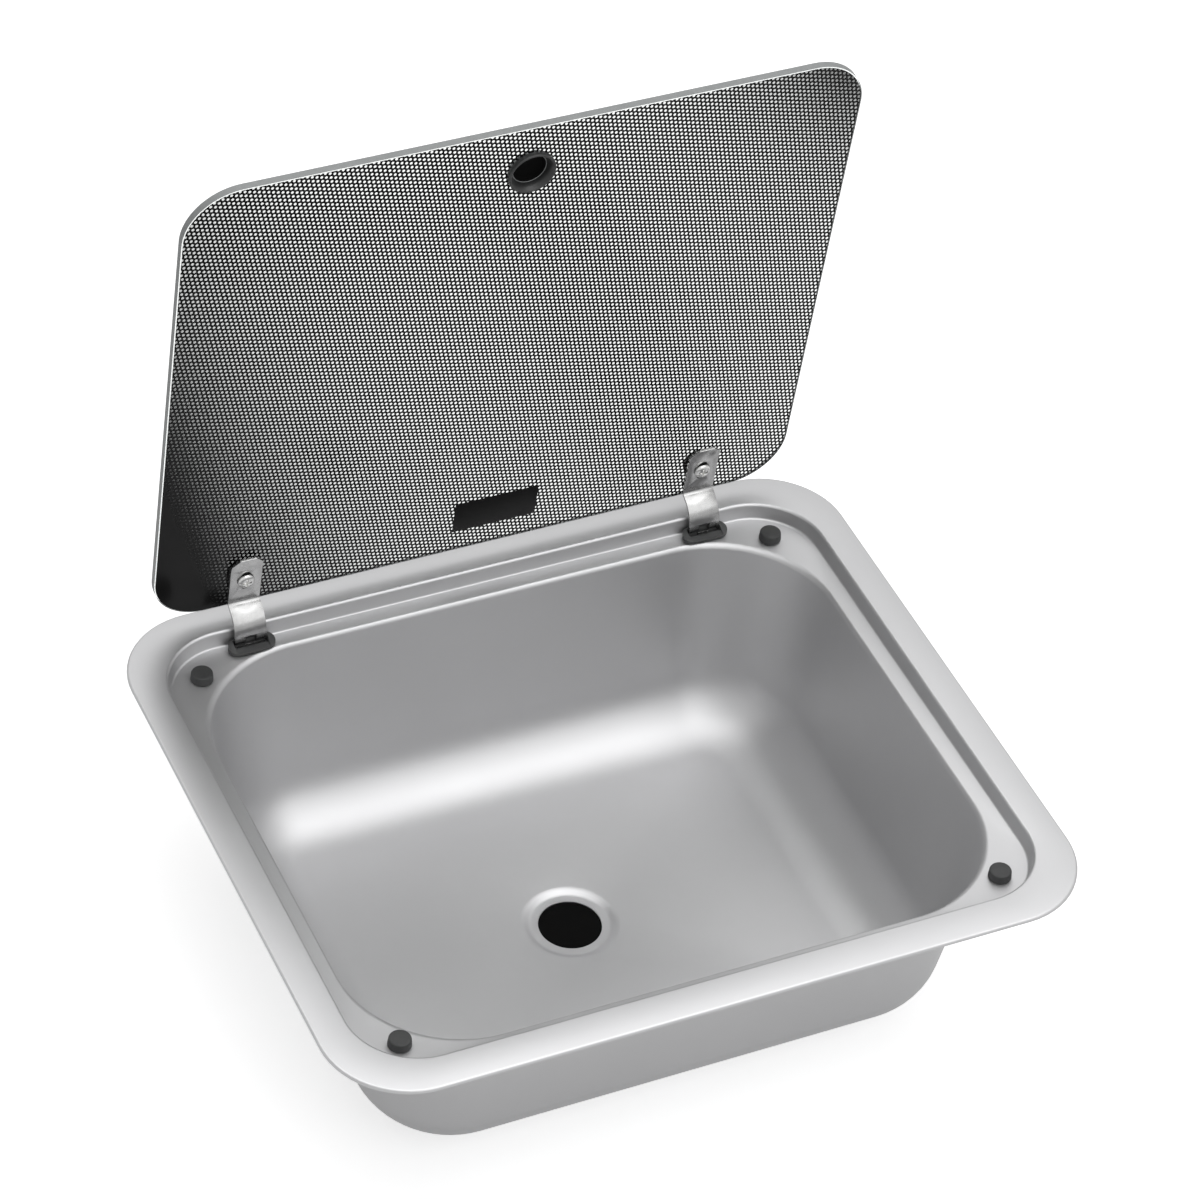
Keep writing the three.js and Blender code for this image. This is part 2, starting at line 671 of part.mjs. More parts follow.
function strap(x) {
  const strip = new THREE.ExtrudeGeometry(stripAlong(strapPath(), STRAP_THICKNESS), {
    depth: STRAP_WIDTH,
    bevelEnabled: false,
  });
  // (w, v, along) to (Z, Y, X) of the lid's frame
  strip.applyMatrix4(new THREE.Matrix4().makeBasis(
    new THREE.Vector3(0, 0, 1),
    new THREE.Vector3(0, 1, 0),
    new THREE.Vector3(-1, 0, 0),
  ));
  strip.translate(x + STRAP_WIDTH / 2, 0, 0);
  const slotRadius = STRAP_SLOT_WIDTH / 2;
  const slot = new THREE.Shape();
  slot.absarc(x, STRAP_SLOT_TOP - slotRadius, slotRadius, 0, HALF_TURN);
  slot.absarc(x, STRAP_SLOT_BOTTOM + slotRadius, slotRadius, HALF_TURN, HALF_TURN * 2);
  slot.closePath();
  const cutDepth = 4 * STRAP_THICKNESS;
  const corners = [-1, 1].map((side) => {
    const edge = x + side * STRAP_WIDTH / 2;
    const corner = new THREE.Shape([
      new THREE.Vector2(edge - side * STRAP_TIP_CHAMFER, STRAP_TOP + OVERCUT),
      new THREE.Vector2(edge - side * STRAP_TIP_CHAMFER, STRAP_TOP),
      new THREE.Vector2(edge, STRAP_TOP - STRAP_TIP_CHAMFER),
      new THREE.Vector2(edge + side * OVERCUT, STRAP_TOP - STRAP_TIP_CHAMFER),
      new THREE.Vector2(edge + side * OVERCUT, STRAP_TOP + OVERCUT),
    ]);
    return solid(plate(corner, 0, cutDepth));
  });
  const notchTurn = HALF_TURN / 2 - (radians(STRAP_NOTCH_ANGLE) - openTilt);
  const notchTop = STRAP_RADIUS * Math.sin(notchTurn) + pivotInLid.x;
  const notch = box(
    new THREE.Vector3(x - STRAP_NOTCH_WIDTH / 2, notchTop - STRAP_RADIUS, pivotInLid.y + STRAP_RADIUS / 2),
    new THREE.Vector3(x + STRAP_NOTCH_WIDTH / 2, notchTop, pivotInLid.y + STRAP_RADIUS * 1.5),
  );
  return cut(solid(strip), solid(plate(slot, 0, cutDepth)), ...corners, solid(notch));
}

function strapPad(x) {
  const low = GLASS_BOTTOM + PAD_INSET;
  const outline = new THREE.Shape([
    new THREE.Vector2(x - STRAP_WIDTH / 2, low),
    new THREE.Vector2(x + STRAP_WIDTH / 2, low),
    new THREE.Vector2(x + STRAP_WIDTH / 2, STRAP_TIP_BEND),
    new THREE.Vector2(x - STRAP_WIDTH / 2, STRAP_TIP_BEND),
  ]);
  const sheet = plate(outline, SEAT_GAP, SEAT_GAP + PAD_THICKNESS);
  const hole = cylinder(SCREW_SHANK + 2 * SEAT_GAP, 0, STRAP_FACE_W, x, SCREW_V);
  return cut(solid(sheet), solid(hole));
}

// ---------------------------------------------------------------- screw, washer and nut, in the lid's frame

function lidScrew(x) {
  const headBottom = STRAP_FACE_W + SEAT_GAP;
  const headTop = headBottom + SCREW_HEAD_HEIGHT;
  const radius = SCREW_HEAD / 2;
  const tipW = NUT_BACK_W - NUT_FLANGE_HEIGHT * SCREW_REACH_SHARE;
  const body = turned([
    [0, tipW],
    [SCREW_SHANK / 2, tipW],
    [SCREW_SHANK / 2, headBottom],
    [radius, headBottom],
    [radius, headBottom + SCREW_HEAD_HEIGHT * 0.35],
    [radius * 0.86, headTop - SCREW_HEAD_HEIGHT * 0.22],
    [radius * 0.55, headTop],
    [0, headTop],
  ], x, SCREW_V);
  const arms = [0, 1].map((turn) => {
    const half = SCREW_RECESS / 2;
    const thin = SCREW_RECESS / 8;
    const reachX = turn ? thin : half;
    const reachY = turn ? half : thin;
    return solid(box(
      new THREE.Vector3(x - reachX, SCREW_V - reachY, headTop - SCREW_HEAD_HEIGHT * 0.6),
      new THREE.Vector3(x + reachX, SCREW_V + reachY, headTop + OVERCUT),
    ));
  });
  return cut(solid(body), ...arms);
}

function nutWasher(x) {
  const bottom = -GLASS_THICKNESS - SEAT_GAP - WASHER_THICKNESS;
  const outer = NUT_FLANGE / 2 - WASHER_INSET;
  const inner = NUT_BUSH / 2 + SEAT_GAP;
  return solid(turned([
    [inner, bottom],
    [outer, bottom],
    [outer, bottom + WASHER_THICKNESS],
    [inner, bottom + WASHER_THICKNESS],
    [inner, bottom],
  ], x, SCREW_V));
}

// A cap nut on the outer face, with a bush that lines the hole in the glass.
function capNut(x) {
  const bore = SCREW_SHANK / 2 + SEAT_GAP;
  const bushTop = -SEAT_GAP;
  const capBottom = NUT_BACK_W - NUT_FLANGE_HEIGHT;
  const boreEnd = NUT_BACK_W - NUT_FLANGE_HEIGHT * NUT_BORE_SHARE;
  return solid(turned([
    [0, capBottom],
    [NUT_FLANGE / 2 - NUT_EDGE, capBottom],
    [NUT_FLANGE / 2 - NUT_EDGE * 0.3, capBottom + NUT_EDGE * 0.3],
    [NUT_FLANGE / 2, capBottom + NUT_EDGE],
    [NUT_FLANGE / 2, NUT_BACK_W],
    [NUT_BUSH / 2, NUT_BACK_W],
    [NUT_BUSH / 2, bushTop],
    [bore, bushTop],
    [bore, boreEnd],
    [0, boreEnd],
  ], x, SCREW_V));
}

// ---------------------------------------------------------------- lid glass and grip, in the lid's frame

function lidGlass() {
  const middle = (GLASS_TOP + GLASS_BOTTOM) / 2;
  const outline = roundedRectangle(
    GLASS_HALF_WIDTH - GLASS_ARRIS,
    GLASS_CLOSED_REAR - GLASS_ARRIS,
    GLASS_CORNER - GLASS_ARRIS,
    middle,
  );
  const sheet = new THREE.ExtrudeGeometry(outline, {
    depth: GLASS_THICKNESS - 2 * GLASS_ARRIS,
    bevelThickness: GLASS_ARRIS,
    bevelSize: GLASS_ARRIS,
    bevelSegments: 1,
    curveSegments: 8,
  }).translate(0, 0, -GLASS_THICKNESS + GLASS_ARRIS);
  const through = [-GLASS_THICKNESS - OVERCUT, OVERCUT];
  const gripHole = cylinder(GRIP_NECK + 2 * SEAT_GAP, ...through, 0, GRIP_V, GRIP_STEPS);
  const screwHoles = [-HINGE_X, HINGE_X].map((x) => solid(
    cylinder(NUT_BUSH + 2 * SEAT_GAP, ...through, x, SCREW_V),
  ));
  return cut(solid(sheet), solid(gripHole), ...screwHoles);
}

// The dark collar on the inner face: a flange and a neck that runs through the glass. Its mouth
// narrows down to the straight bore that the knob sits in.
function gripCollar() {
  const flangeBottom = SEAT_GAP;
  const flangeTop = flangeBottom + GRIP_FLANGE_HEIGHT;
  const round = COLLAR_ROUND;
  return solid(turned([
    [GRIP_BORE / 2, GRIP_NECK_END],
    [GRIP_NECK / 2, GRIP_NECK_END],
    [GRIP_NECK / 2, flangeBottom],
    [GRIP_FLANGE / 2, flangeBottom],
    [GRIP_FLANGE / 2, flangeTop - round],
    [GRIP_FLANGE / 2 - round, flangeTop],
    [GRIP_MOUTH / 2 + round, flangeTop],
    [GRIP_MOUTH / 2, flangeTop - round],
    [GRIP_BORE / 2, GRIP_KNOB_TOP + SEAT_GAP],
    [GRIP_BORE / 2, GRIP_NECK_END],
  ], 0, GRIP_V, GRIP_STEPS));
}

// The knob that closes the collar's neck: a shallow cup, level with the neck's end.
function gripKnob() {
  const outer = GRIP_BORE / 2 - SEAT_GAP;
  const hollow = outer - KNOB_WALL;
  const floor = GRIP_NECK_END + KNOB_WALL;
  return solid(turned([
    [0, GRIP_NECK_END],
    [outer - KNOB_ROUND, GRIP_NECK_END],
    [outer, GRIP_NECK_END + KNOB_ROUND],
    [outer, GRIP_KNOB_TOP],
    [hollow, GRIP_KNOB_TOP],
    [hollow, floor + KNOB_ROUND],
    [hollow - KNOB_ROUND, floor],
    [0, floor],
  ], 0, GRIP_V, GRIP_STEPS));
}

// ---------------------------------------------------------------- bumpers and seal

function bumperHole(x, y) {
  const hole = BUMPER_STEM + 2 * SEAT_GAP;
  return solid(cylinder(hole, LEDGE_Z - 2 * SHEET, LEDGE_Z + SHEET, x, y, BUMPER_STEPS));
}

function bumper(x, y) {
  const seat = LEDGE_Z + SEAT_GAP;
  const barbTop = LEDGE_Z - SHEET - SEAT_GAP;
  return solid(turned([
    [0, barbTop - BUMPER_TAIL],
    [BUMPER_STEM / 2 - BUMPER_TAIL_TAPER, barbTop - BUMPER_TAIL],
    [BUMPER_BARB / 2, barbTop - BUMPER_BARB_HEIGHT],
    [BUMPER_BARB / 2, barbTop],
    [BUMPER_STEM / 2, barbTop],
    [BUMPER_STEM / 2, seat],
    [BUMPER_BASE / 2, seat],
    [BUMPER_BASE / 2, seat + BUMPER_FOOT],
    [BUMPER_TOP / 2, BUMPER_TOP_Z - BUMPER_SHOULDER],
    [BUMPER_TOP / 2 - BUMPER_SHOULDER / 2, BUMPER_TOP_Z - BUMPER_SHOULDER / 3],
    [BUMPER_TOP / 2 - BUMPER_ROUND, BUMPER_TOP_Z],
    [0, BUMPER_TOP_Z],
  ], x, y, BUMPER_STEPS));
}

function rimSeal() {
  const outline = roundedRectangle(
    RIM_WIDTH / 2 - SEAL_INSET,
    RIM_DEPTH / 2 - SEAL_INSET,
    RIM_CORNER - SEAL_INSET,
  );
  const inner = SEAL_INSET + SEAL_WIDTH;
  outline.holes.push(roundedRectangle(
    RIM_WIDTH / 2 - inner,
    RIM_DEPTH / 2 - inner,
    RIM_CORNER - inner,
  ));
  return solid(plate(outline, 0, FLANGE_TOP - SHEET - SEAT_GAP, CORNER_STEPS));
}

// ---------------------------------------------------------------- assembly

const bumperPlaces = [
  { name: 'bumper_rear_left', x: -BUMPER_X, y: BUMPER_Y },
  { name: 'bumper_rear_right', x: BUMPER_X, y: BUMPER_Y },
  { name: 'bumper_front_left', x: -BUMPER_X, y: -BUMPER_Y },
  { name: 'bumper_front_right', x: BUMPER_X, y: -BUMPER_Y },
];
const hingePlaces = [
  { side: 'left', x: -HINGE_X },
  { side: 'right', x: HINGE_X },
];

const sink = new THREE.Group();
const openBowl = cut(
  pressedBowl(),
  ...hingePlaces.map(({ x }) => housingCutOut(x)),
  ...bumperPlaces.map(({ x, y }) => bumperHole(x, y)),
);
sink.add(mesh('sink_body', geometryOf(openBowl), steel));
sink.add(mesh('rim_seal', geometryOf(rimSeal()), darkRubber));
for (const { name, x, y } of bumperPlaces) {
  sink.add(mesh(name, geometryOf(bumper(x, y)), darkRubber));
}
for (const { side, x } of hingePlaces) {
  sink.add(mesh(`hinge_housing_${side}`, geometryOf(housing(x)), darkPlastic));
  sink.add(mesh(`detent_spring_${side}`, geometryOf(detentSpring(x)), screwSteel));
}

const lid = new THREE.Group();
lid.position.set(0, LID_OPEN_Y, FLANGE_TOP);
lid.rotation.x = openTilt;
lid.add(mesh('lid_glass', geometryOf(lidGlass()), printedGlass));
lid.add(mesh('grip_collar', geometryOf(gripCollar()), darkPlastic));
lid.add(mesh('grip_knob', geometryOf(gripKnob()), darkPlastic));
for (const { side, x } of hingePlaces) {
  lid.add(mesh(`hinge_strap_${side}`, geometryOf(strap(x)), strapSteel));
  lid.add(mesh(`strap_pad_${side}`, geometryOf(strapPad(x)), darkRubber));
  lid.add(mesh(`lid_screw_${side}`, geometryOf(lidScrew(x)), screwSteel));
  lid.add(mesh(`nut_washer_${side}`, geometryOf(nutWasher(x)), darkRubber));
  lid.add(mesh(`cap_nut_${side}`, geometryOf(capNut(x)), darkPlastic));
}

const rvSink = new THREE.Group();
rvSink.name = 'rv_sink_with_glass_lid';
rvSink.add(sink, lid);

export default rvSink;
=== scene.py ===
import math

import bmesh
import bpy
from mathutils import Matrix, Vector


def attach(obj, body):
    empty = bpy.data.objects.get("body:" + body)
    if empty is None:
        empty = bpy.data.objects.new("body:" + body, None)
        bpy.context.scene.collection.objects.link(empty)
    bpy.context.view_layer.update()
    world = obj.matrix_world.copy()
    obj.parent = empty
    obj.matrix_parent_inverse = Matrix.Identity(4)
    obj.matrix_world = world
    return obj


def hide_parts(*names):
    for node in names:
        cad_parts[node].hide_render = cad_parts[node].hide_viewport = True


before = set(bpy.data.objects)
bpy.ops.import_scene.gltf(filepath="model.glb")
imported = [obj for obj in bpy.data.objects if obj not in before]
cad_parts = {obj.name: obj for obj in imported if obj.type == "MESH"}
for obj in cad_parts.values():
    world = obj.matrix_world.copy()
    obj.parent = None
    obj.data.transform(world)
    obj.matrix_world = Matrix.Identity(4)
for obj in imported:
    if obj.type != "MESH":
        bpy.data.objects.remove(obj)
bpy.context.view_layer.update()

# ---------------------------------------------------------------- sizes in millimetres
# They are the CAD's own, apart from the ones marked "looks", which only this visual model has.

MM = 0.001

RIM_WIDTH = 420
RIM_DEPTH = 360
RIM_CORNER = 46
FLANGE_TOP = 2
SHEET = 0.8
LIP_RADIUS = 1.4
FLANGE_SIDE = 18.5
FLANGE_END = 20
RECESS_DEPTH = 9.5
RECESS_CORNER = 38
STEP_RUN = 1.3
CREST_RADIUS = 1.8
FOOT_RADIUS = 1.5
LEDGE_WIDTH = 10
LEDGE_FALL = 1.3  # looks: the ledge leans towards the bowl

BOWL_DEPTH = 124
MOUTH_CORNER = 66
MOUTH_RADIUS = 4
WALL_DRAFT = math.radians(9.5)
FLOOR_FILLET = 39
FLOOR_BLEND = 0.95
FLOOR_FALL = 2.5

DRAIN_X = -3.2
DRAIN_Y = 5.8
DRAIN_HOLE = 35
DRAIN_SEAT = 43.5
DRAIN_DISH = 54
DRAIN_STEP = 2
DRAIN_LEAD = 2
DISH_EDGE_ROUND = 1.6
SEAT_EDGE_ROUND = 1.0

LEDGE_Z = FLANGE_TOP - RECESS_DEPTH
FLOOR_Z = FLANGE_TOP - BOWL_DEPTH
STEP_FOOT_X = RIM_WIDTH / 2 - FLANGE_SIDE - STEP_RUN
STEP_FOOT_Y = RIM_DEPTH / 2 - FLANGE_END - STEP_RUN
LOWEST_Z = FLOOR_Z - FLOOR_FALL - DRAIN_STEP - SHEET

BUMPER_INSET_SIDE = 41.4
BUMPER_INSET_END = 41.1
BUMPER_X = RIM_WIDTH / 2 - BUMPER_INSET_SIDE
BUMPER_Y = RIM_DEPTH / 2 - BUMPER_INSET_END
BUMPER_TOP = 11.8
BUMPER_BASE = 12.4
BUMPER_HEIGHT = 4.6
BUMPER_STEM = 4.4
BUMPER_BARB = 7
BUMPER_BARB_HEIGHT = 0.6
BUMPER_TAIL = 4
BUMPER_TAIL_TAPER = 0.8
BUMPER_FOOT = 0.5
BUMPER_CROWN = ((0, 0.9), (0.22, 0.38), (0.7, 0.08), (1.3, 0))  # how far in and how far down

SEAT_GAP = 0.3
RUNNING_GAP = 0.4

GLASS_THICKNESS = 4
GLASS_BOTTOM = 9.5
GLASS_SIDE_GAP = 3.8
GLASS_END_GAP = 0.85
GLASS_HALF_WIDTH = STEP_FOOT_X - GLASS_SIDE_GAP
GLASS_HALF_HEIGHT = STEP_FOOT_Y - GLASS_END_GAP
GLASS_TOP = GLASS_BOTTOM + 2 * GLASS_HALF_HEIGHT
GLASS_CORNER = 31
GLASS_ARRIS = 0.4
PANE_TRIM = 0.05  # looks: keeps the smooth corners inside the CAD's own outline
LID_OPEN_ANGLE = math.radians(96.93)
LID_OPEN_INSET = 9.5
LID_OPEN_Y = RIM_DEPTH / 2 - LID_OPEN_INSET

GRIP_FROM_TOP = 29.7
GRIP_V = GLASS_TOP - GRIP_FROM_TOP
GRIP_NECK = 23
GRIP_FLANGE = 26
GRIP_BORE = 19.5
GRIP_FLANGE_HEIGHT = 3
GRIP_MOUTH = 23.2  # looks: 21.6 in the CAD
COLLAR_FUNNEL = ((-0.3, 0), (0.3, 0.7), (1.2, 2))  # inwards of the mouth and down from the top
COLLAR_EDGE_IN = 0.4
COLLAR_EDGE_DOWN = 0.5
GRIP_NECK_END = -GLASS_THICKNESS - SEAT_GAP
KNOB_HEIGHT = 3.2
KNOB_WALL = 1.2
KNOB_ROUND = 0.6
KNOB_ARRIS = 0.22  # looks: the pale line round the cup, a painted highlight on the edge's faces

HINGE_X = 134.8
STRAP_WIDTH = 18
STRAP_THICKNESS = 1.5
STRAP_BEND = 3
STRAP_TOP = 47.5
STRAP_TIP_BEND = 38.6
STRAP_TIP_ANGLE = math.radians(10)
STRAP_TIP_CHAMFER = 4.5
STRAP_SLOT_WIDTH = 5.4
STRAP_SLOT_BOTTOM = 23
STRAP_SLOT_TOP = 36.2
STRAP_END_ANGLE = math.radians(206)
STRAP_NOTCH_WIDTH = 6.4
STRAP_NOTCH_LENGTH = 6.4  # looks: the CAD cuts the notch right through the end
STRAP_NOTCH_ANGLE = math.radians(174)
STRAP_BEND_STEPS = 10
STRAP_ARC_STEPS = 32
STRAP_SOFTNESS = 0.3
PAD_THICKNESS = 0.4
SLOT_SETBACK = 1.55

SCREW_V = 29.6
SCREW_SHANK = 4
SCREW_HEAD = 9.4  # looks: 8.6 in the CAD
SCREW_HEAD_HEIGHT = 2.2
SCREW_RECESS = 5.4  # looks: 4.4 in the CAD
SCREW_RECESS_DEPTH = 1.5
SCREW_DOME = ((1, 0.55), (0.97, 0.95), (0.86, 1.45), (0.68, 1.85))  # shares of the radius, heights
SCREW_CROWN = (0.42, 0.08)  # share of the radius, and how far below the top
SCREW_REACH_SHARE = 0.4
NUT_BUSH = 6.4
NUT_FLANGE = 17
NUT_FLANGE_HEIGHT = 3
NUT_EDGE = 1.6
NUT_EDGE_INSET = 0.5
NUT_BORE_SHARE = 0.6
WASHER_THICKNESS = 0.8
WASHER_INSET = 0.5

HOUSING_NECK_LENGTH = 23.5
HOUSING_NECK_BREADTH = 7.7
HOUSING_REAR_WALL = 0.8
HOUSING_SOFTNESS = 0.18

# looks: the bare label, which stands a little off the glass
LABEL_LEFT = -14
LABEL_RIGHT = 35
LABEL_LOW = 25
LABEL_HIGH = 47.5
LABEL_BACK = 0.08
LABEL_FRONT = 0.28
LABEL_SOFTNESS = 0.08

# The lid's own frame: X to the right, Y up the glass, Z from its inner face towards the bowl.
LID = (
    Matrix.Translation((0, LID_OPEN_Y, FLANGE_TOP))
    @ Matrix.Rotation(LID_OPEN_ANGLE, 4, "X")
)


def hinge_line():
    """The lid's centre of turn as (y, z), from its open place and its place flat on the bumpers."""
    turn = math.pi - LID_OPEN_ANGLE
    opened = Vector((
        LID_OPEN_Y + GLASS_BOTTOM * math.cos(LID_OPEN_ANGLE),
        FLANGE_TOP + GLASS_BOTTOM * math.sin(LID_OPEN_ANGLE),
    ))
    closed = Vector((GLASS_HALF_HEIGHT, LEDGE_Z + BUMPER_HEIGHT + SEAT_GAP))
    chord = closed - opened
    middle = (opened + closed) / 2
    reach = 0.5 / math.tan(turn / 2)
    return Vector((middle.x - chord.y * reach, middle.y + chord.x * reach))


PIVOT = hinge_line()
PIVOT_IN_LID = LID.inverted() @ Vector((0, PIVOT.x, PIVOT.y))
SLOT_REAR = STEP_FOOT_Y - SLOT_SETBACK
STRAP_RADIUS = (
    RUNNING_GAP + math.hypot(PIVOT.x - SLOT_REAR, PIVOT.y - LEDGE_Z) + STRAP_THICKNESS / 2
)
STRAP_MIDDLE_W = 2 * SEAT_GAP + PAD_THICKNESS + STRAP_THICKNESS / 2
NUT_BACK_W = -GLASS_THICKNESS - 2 * SEAT_GAP - WASHER_THICKNESS

# ---------------------------------------------------------------- shared shader effects


def effect(name, inputs, outputs):
    """An empty node group with named inputs and outputs."""
    group = bpy.data.node_groups.new(name, "ShaderNodeTree")
    for label, kind, value in inputs:
        socket = group.interface.new_socket(name=label, in_out="INPUT", socket_type=kind)
        socket.default_value = value
    for label, kind in outputs:
        group.interface.new_socket(name=label, in_out="OUTPUT", socket_type=kind)
    return group


def add_node(tree, kind, **settings):
    """A new shader node with its settings."""
    node = tree.nodes.new(kind)
    for key, value in settings.items():
        setattr(node, key, value)
    return node


def blotches_effect():
    """Slow blotches of an even spread about a middle value, for sheen that changes over a surface."""
    group = effect(
        "blotches",
        [("Middle", "NodeSocketFloat", 0.4), ("Spread", "NodeSocketFloat", 0.1),
         ("Scale", "NodeSocketFloat", 30.0), ("Detail", "NodeSocketFloat", 3.0)],
        [("Value", "NodeSocketFloat")],
    )
    link = group.links.new
    given = add_node(group, "NodeGroupInput")
    place = add_node(group, "ShaderNodeTexCoord")
    noise = add_node(group, "ShaderNodeTexNoise")
    centred = add_node(group, "ShaderNodeMath", operation="SUBTRACT")
    centred.inputs[1].default_value = 0.5
    spread = add_node(group, "ShaderNodeMath", operation="MULTIPLY_ADD")
    result = add_node(group, "NodeGroupOutput")
    link(place.outputs["Object"], noise.inputs["Vector"])
    link(given.outputs["Scale"], noise.inputs["Scale"])
    link(given.outputs["Detail"], noise.inputs["Detail"])
    link(noise.outputs["Fac"], centred.inputs[0])
    link(centred.outputs[0], spread.inputs[0])
    link(given.outputs["Spread"], spread.inputs[1])
    link(given.outputs["Middle"], spread.inputs[2])
    link(spread.outputs[0], result.inputs["Value"])
    return group


def grain_effect():
    """A fine even grain over slow waves, as a height in metres."""
    group = effect(
        "grain",
        [("Grain Scale", "NodeSocketFloat", 2500.0), ("Grain Depth", "NodeSocketFloat", 0.000004),
         ("Wave Scale", "NodeSocketFloat", 20.0), ("Wave Depth", "NodeSocketFloat", 0.00004)],
        [("Height", "NodeSocketFloat")],
    )
    link = group.links.new
    given = add_node(group, "NodeGroupInput")
    place = add_node(group, "ShaderNodeTexCoord")
    fine = add_node(group, "ShaderNodeTexNoise")
    fine.inputs["Detail"].default_value = 4
    slow = add_node(group, "ShaderNodeTexNoise")
    slow.inputs["Detail"].default_value = 1
    fine_height = add_node(group, "ShaderNodeMath", operation="MULTIPLY")
    slow_height = add_node(group, "ShaderNodeMath", operation="MULTIPLY_ADD")
    result = add_node(group, "NodeGroupOutput")
    for noise, scale in ((fine, "Grain Scale"), (slow, "Wave Scale")):
        link(place.outputs["Object"], noise.inputs["Vector"])
        link(given.outputs[scale], noise.inputs["Scale"])
    link(fine.outputs["Fac"], fine_height.inputs[0])
    link(given.outputs["Grain Depth"], fine_height.inputs[1])
    link(slow.outputs["Fac"], slow_height.inputs[0])
    link(given.outputs["Wave Depth"], slow_height.inputs[1])
    link(fine_height.outputs[0], slow_height.inputs[2])
    link(slow_height.outputs[0], result.inputs["Height"])
    return group


def tone_effect():
    """A colour that drifts between two near tones."""
    group = effect(
        "tone_drift",
        [("Light Tone", "NodeSocketColor", (0.8, 0.8, 0.8, 1)),
         ("Dark Tone", "NodeSocketColor", (0.7, 0.7, 0.7, 1)),
         ("Scale", "NodeSocketFloat", 25.0)],
        [("Color", "NodeSocketColor")],
    )
    link = group.links.new
    given = add_node(group, "NodeGroupInput")
    place = add_node(group, "ShaderNodeTexCoord")
    noise = add_node(group, "ShaderNodeTexNoise")
    noise.inputs["Detail"].default_value = 5
    noise.inputs["Roughness"].default_value = 0.6
    mix = add_node(group, "ShaderNodeMix", data_type="RGBA")
    result = add_node(group, "NodeGroupOutput")
    link(place.outputs["Object"], noise.inputs["Vector"])
    link(given.outputs["Scale"], noise.inputs["Scale"])
    link(noise.outputs["Fac"], mix.inputs["Factor"])
    link(given.outputs["Dark Tone"], mix.inputs["A"])
    link(given.outputs["Light Tone"], mix.inputs["B"])
    link(mix.outputs["Result"], result.inputs["Color"])
    return group


BLOTCHES = blotches_effect()
GRAIN = grain_effect()
TONE = tone_effect()


def place_effect(material, group, **values):
    """A group in a material, with its named inputs set."""
    node = add_node(material.node_tree, "ShaderNodeGroup", node_tree=group)
    for label, value in values.items():
        node.inputs[label.replace("_", " ")].default_value = value
    return node


def new_material(name):
    """A material and its own surface shader."""
    material = bpy.data.materials.new(name)
    material.use_nodes = True
    return material, material.node_tree.nodes["Principled BSDF"]


def finish_surface(name, light, dark, tone_scale, roughness, spread, blotch_scale, grain_scale,
                   grain_depth, wave_scale=20.0, wave_depth=0.0, metallic=0.0, shine=0.5):
    """A material with drifting tone, blotched sheen and a grained, slightly wavy surface."""
    material, shader = new_material(name)
    link = material.node_tree.links.new
    tone = place_effect(material, TONE, Light_Tone=(*light, 1), Dark_Tone=(*dark, 1), Scale=tone_scale)
    sheen = place_effect(material, BLOTCHES, Middle=roughness, Spread=spread, Scale=blotch_scale)
    grain = place_effect(material, GRAIN, Grain_Scale=grain_scale, Grain_Depth=grain_depth,
                         Wave_Scale=wave_scale, Wave_Depth=wave_depth)
    bump = add_node(material.node_tree, "ShaderNodeBump")
    bump.inputs["Strength"].default_value = 1
    bump.inputs["Distance"].default_value = 1
    link(tone.outputs["Color"], shader.inputs["Base Color"])
    link(sheen.outputs["Value"], shader.inputs["Roughness"])
    link(grain.outputs["Height"], bump.inputs["Height"])
    link(bump.outputs["Normal"], shader.inputs["Normal"])
    shader.inputs["Metallic"].default_value = metallic
    shader.inputs["Specular IOR Level"].default_value = shine
    return material


# ---------------------------------------------------------------- finishes

sink_steel = finish_surface(
    "sink_steel", light=(0.588, 0.588, 0.594), dark=(0.533, 0.533, 0.54), tone_scale=9,
    roughness=0.46, spread=0.08, blotch_scale=14, grain_scale=3200, grain_depth=0.0000012,
    wave_scale=16, wave_depth=0.00006, metallic=1,
)
strap_steel = finish_surface(
    "strap_steel", light=(0.52, 0.52, 0.515), dark=(0.34, 0.34, 0.34), tone_scale=160,
    roughness=0.25, spread=0.2, blotch_scale=190, grain_scale=2600, grain_depth=0.000002,
    wave_scale=120, wave_depth=0.00003, metallic=1,
)
dull_spring = finish_surface(
    "dull_spring", light=(0.05, 0.05, 0.05), dark=(0.03, 0.03, 0.03), tone_scale=300,
    roughness=0.5, spread=0.16, blotch_scale=320, grain_scale=5000, grain_depth=0.000002, shine=0.3,
)
screw_zinc = finish_surface(
    "screw_zinc", light=(0.82, 0.82, 0.81), dark=(0.66, 0.66, 0.65), tone_scale=500,
    roughness=0.2, spread=0.16, blotch_scale=700, grain_scale=6000, grain_depth=0.000002,
    metallic=1,
)
bumper_rubber = finish_surface(
    "bumper_rubber", light=(0.046, 0.047, 0.047), dark=(0.028, 0.029, 0.029), tone_scale=260,
    roughness=0.62, spread=0.16, blotch_scale=320, grain_scale=5200, grain_depth=0.000003,
)
housing_plastic = finish_surface(
    "housing_plastic", light=(0.075, 0.077, 0.077), dark=(0.055, 0.056, 0.056), tone_scale=220,
    roughness=0.5, spread=0.12, blotch_scale=260, grain_scale=6500, grain_depth=0.0000025,
)
collar_plastic = finish_surface(
    "collar_plastic", light=(0.036, 0.037, 0.037), dark=(0.024, 0.025, 0.025), tone_scale=180,
    roughness=0.38, spread=0.14, blotch_scale=240, grain_scale=6500, grain_depth=0.0000012,
)
label_black = finish_surface(
    "label_black", light=(0.006, 0.006, 0.006), dark=(0.003, 0.003, 0.003), tone_scale=90,
    roughness=0.45, spread=0.1, blotch_scale=120, grain_scale=5000, grain_depth=0.000004, shine=0.1,
)
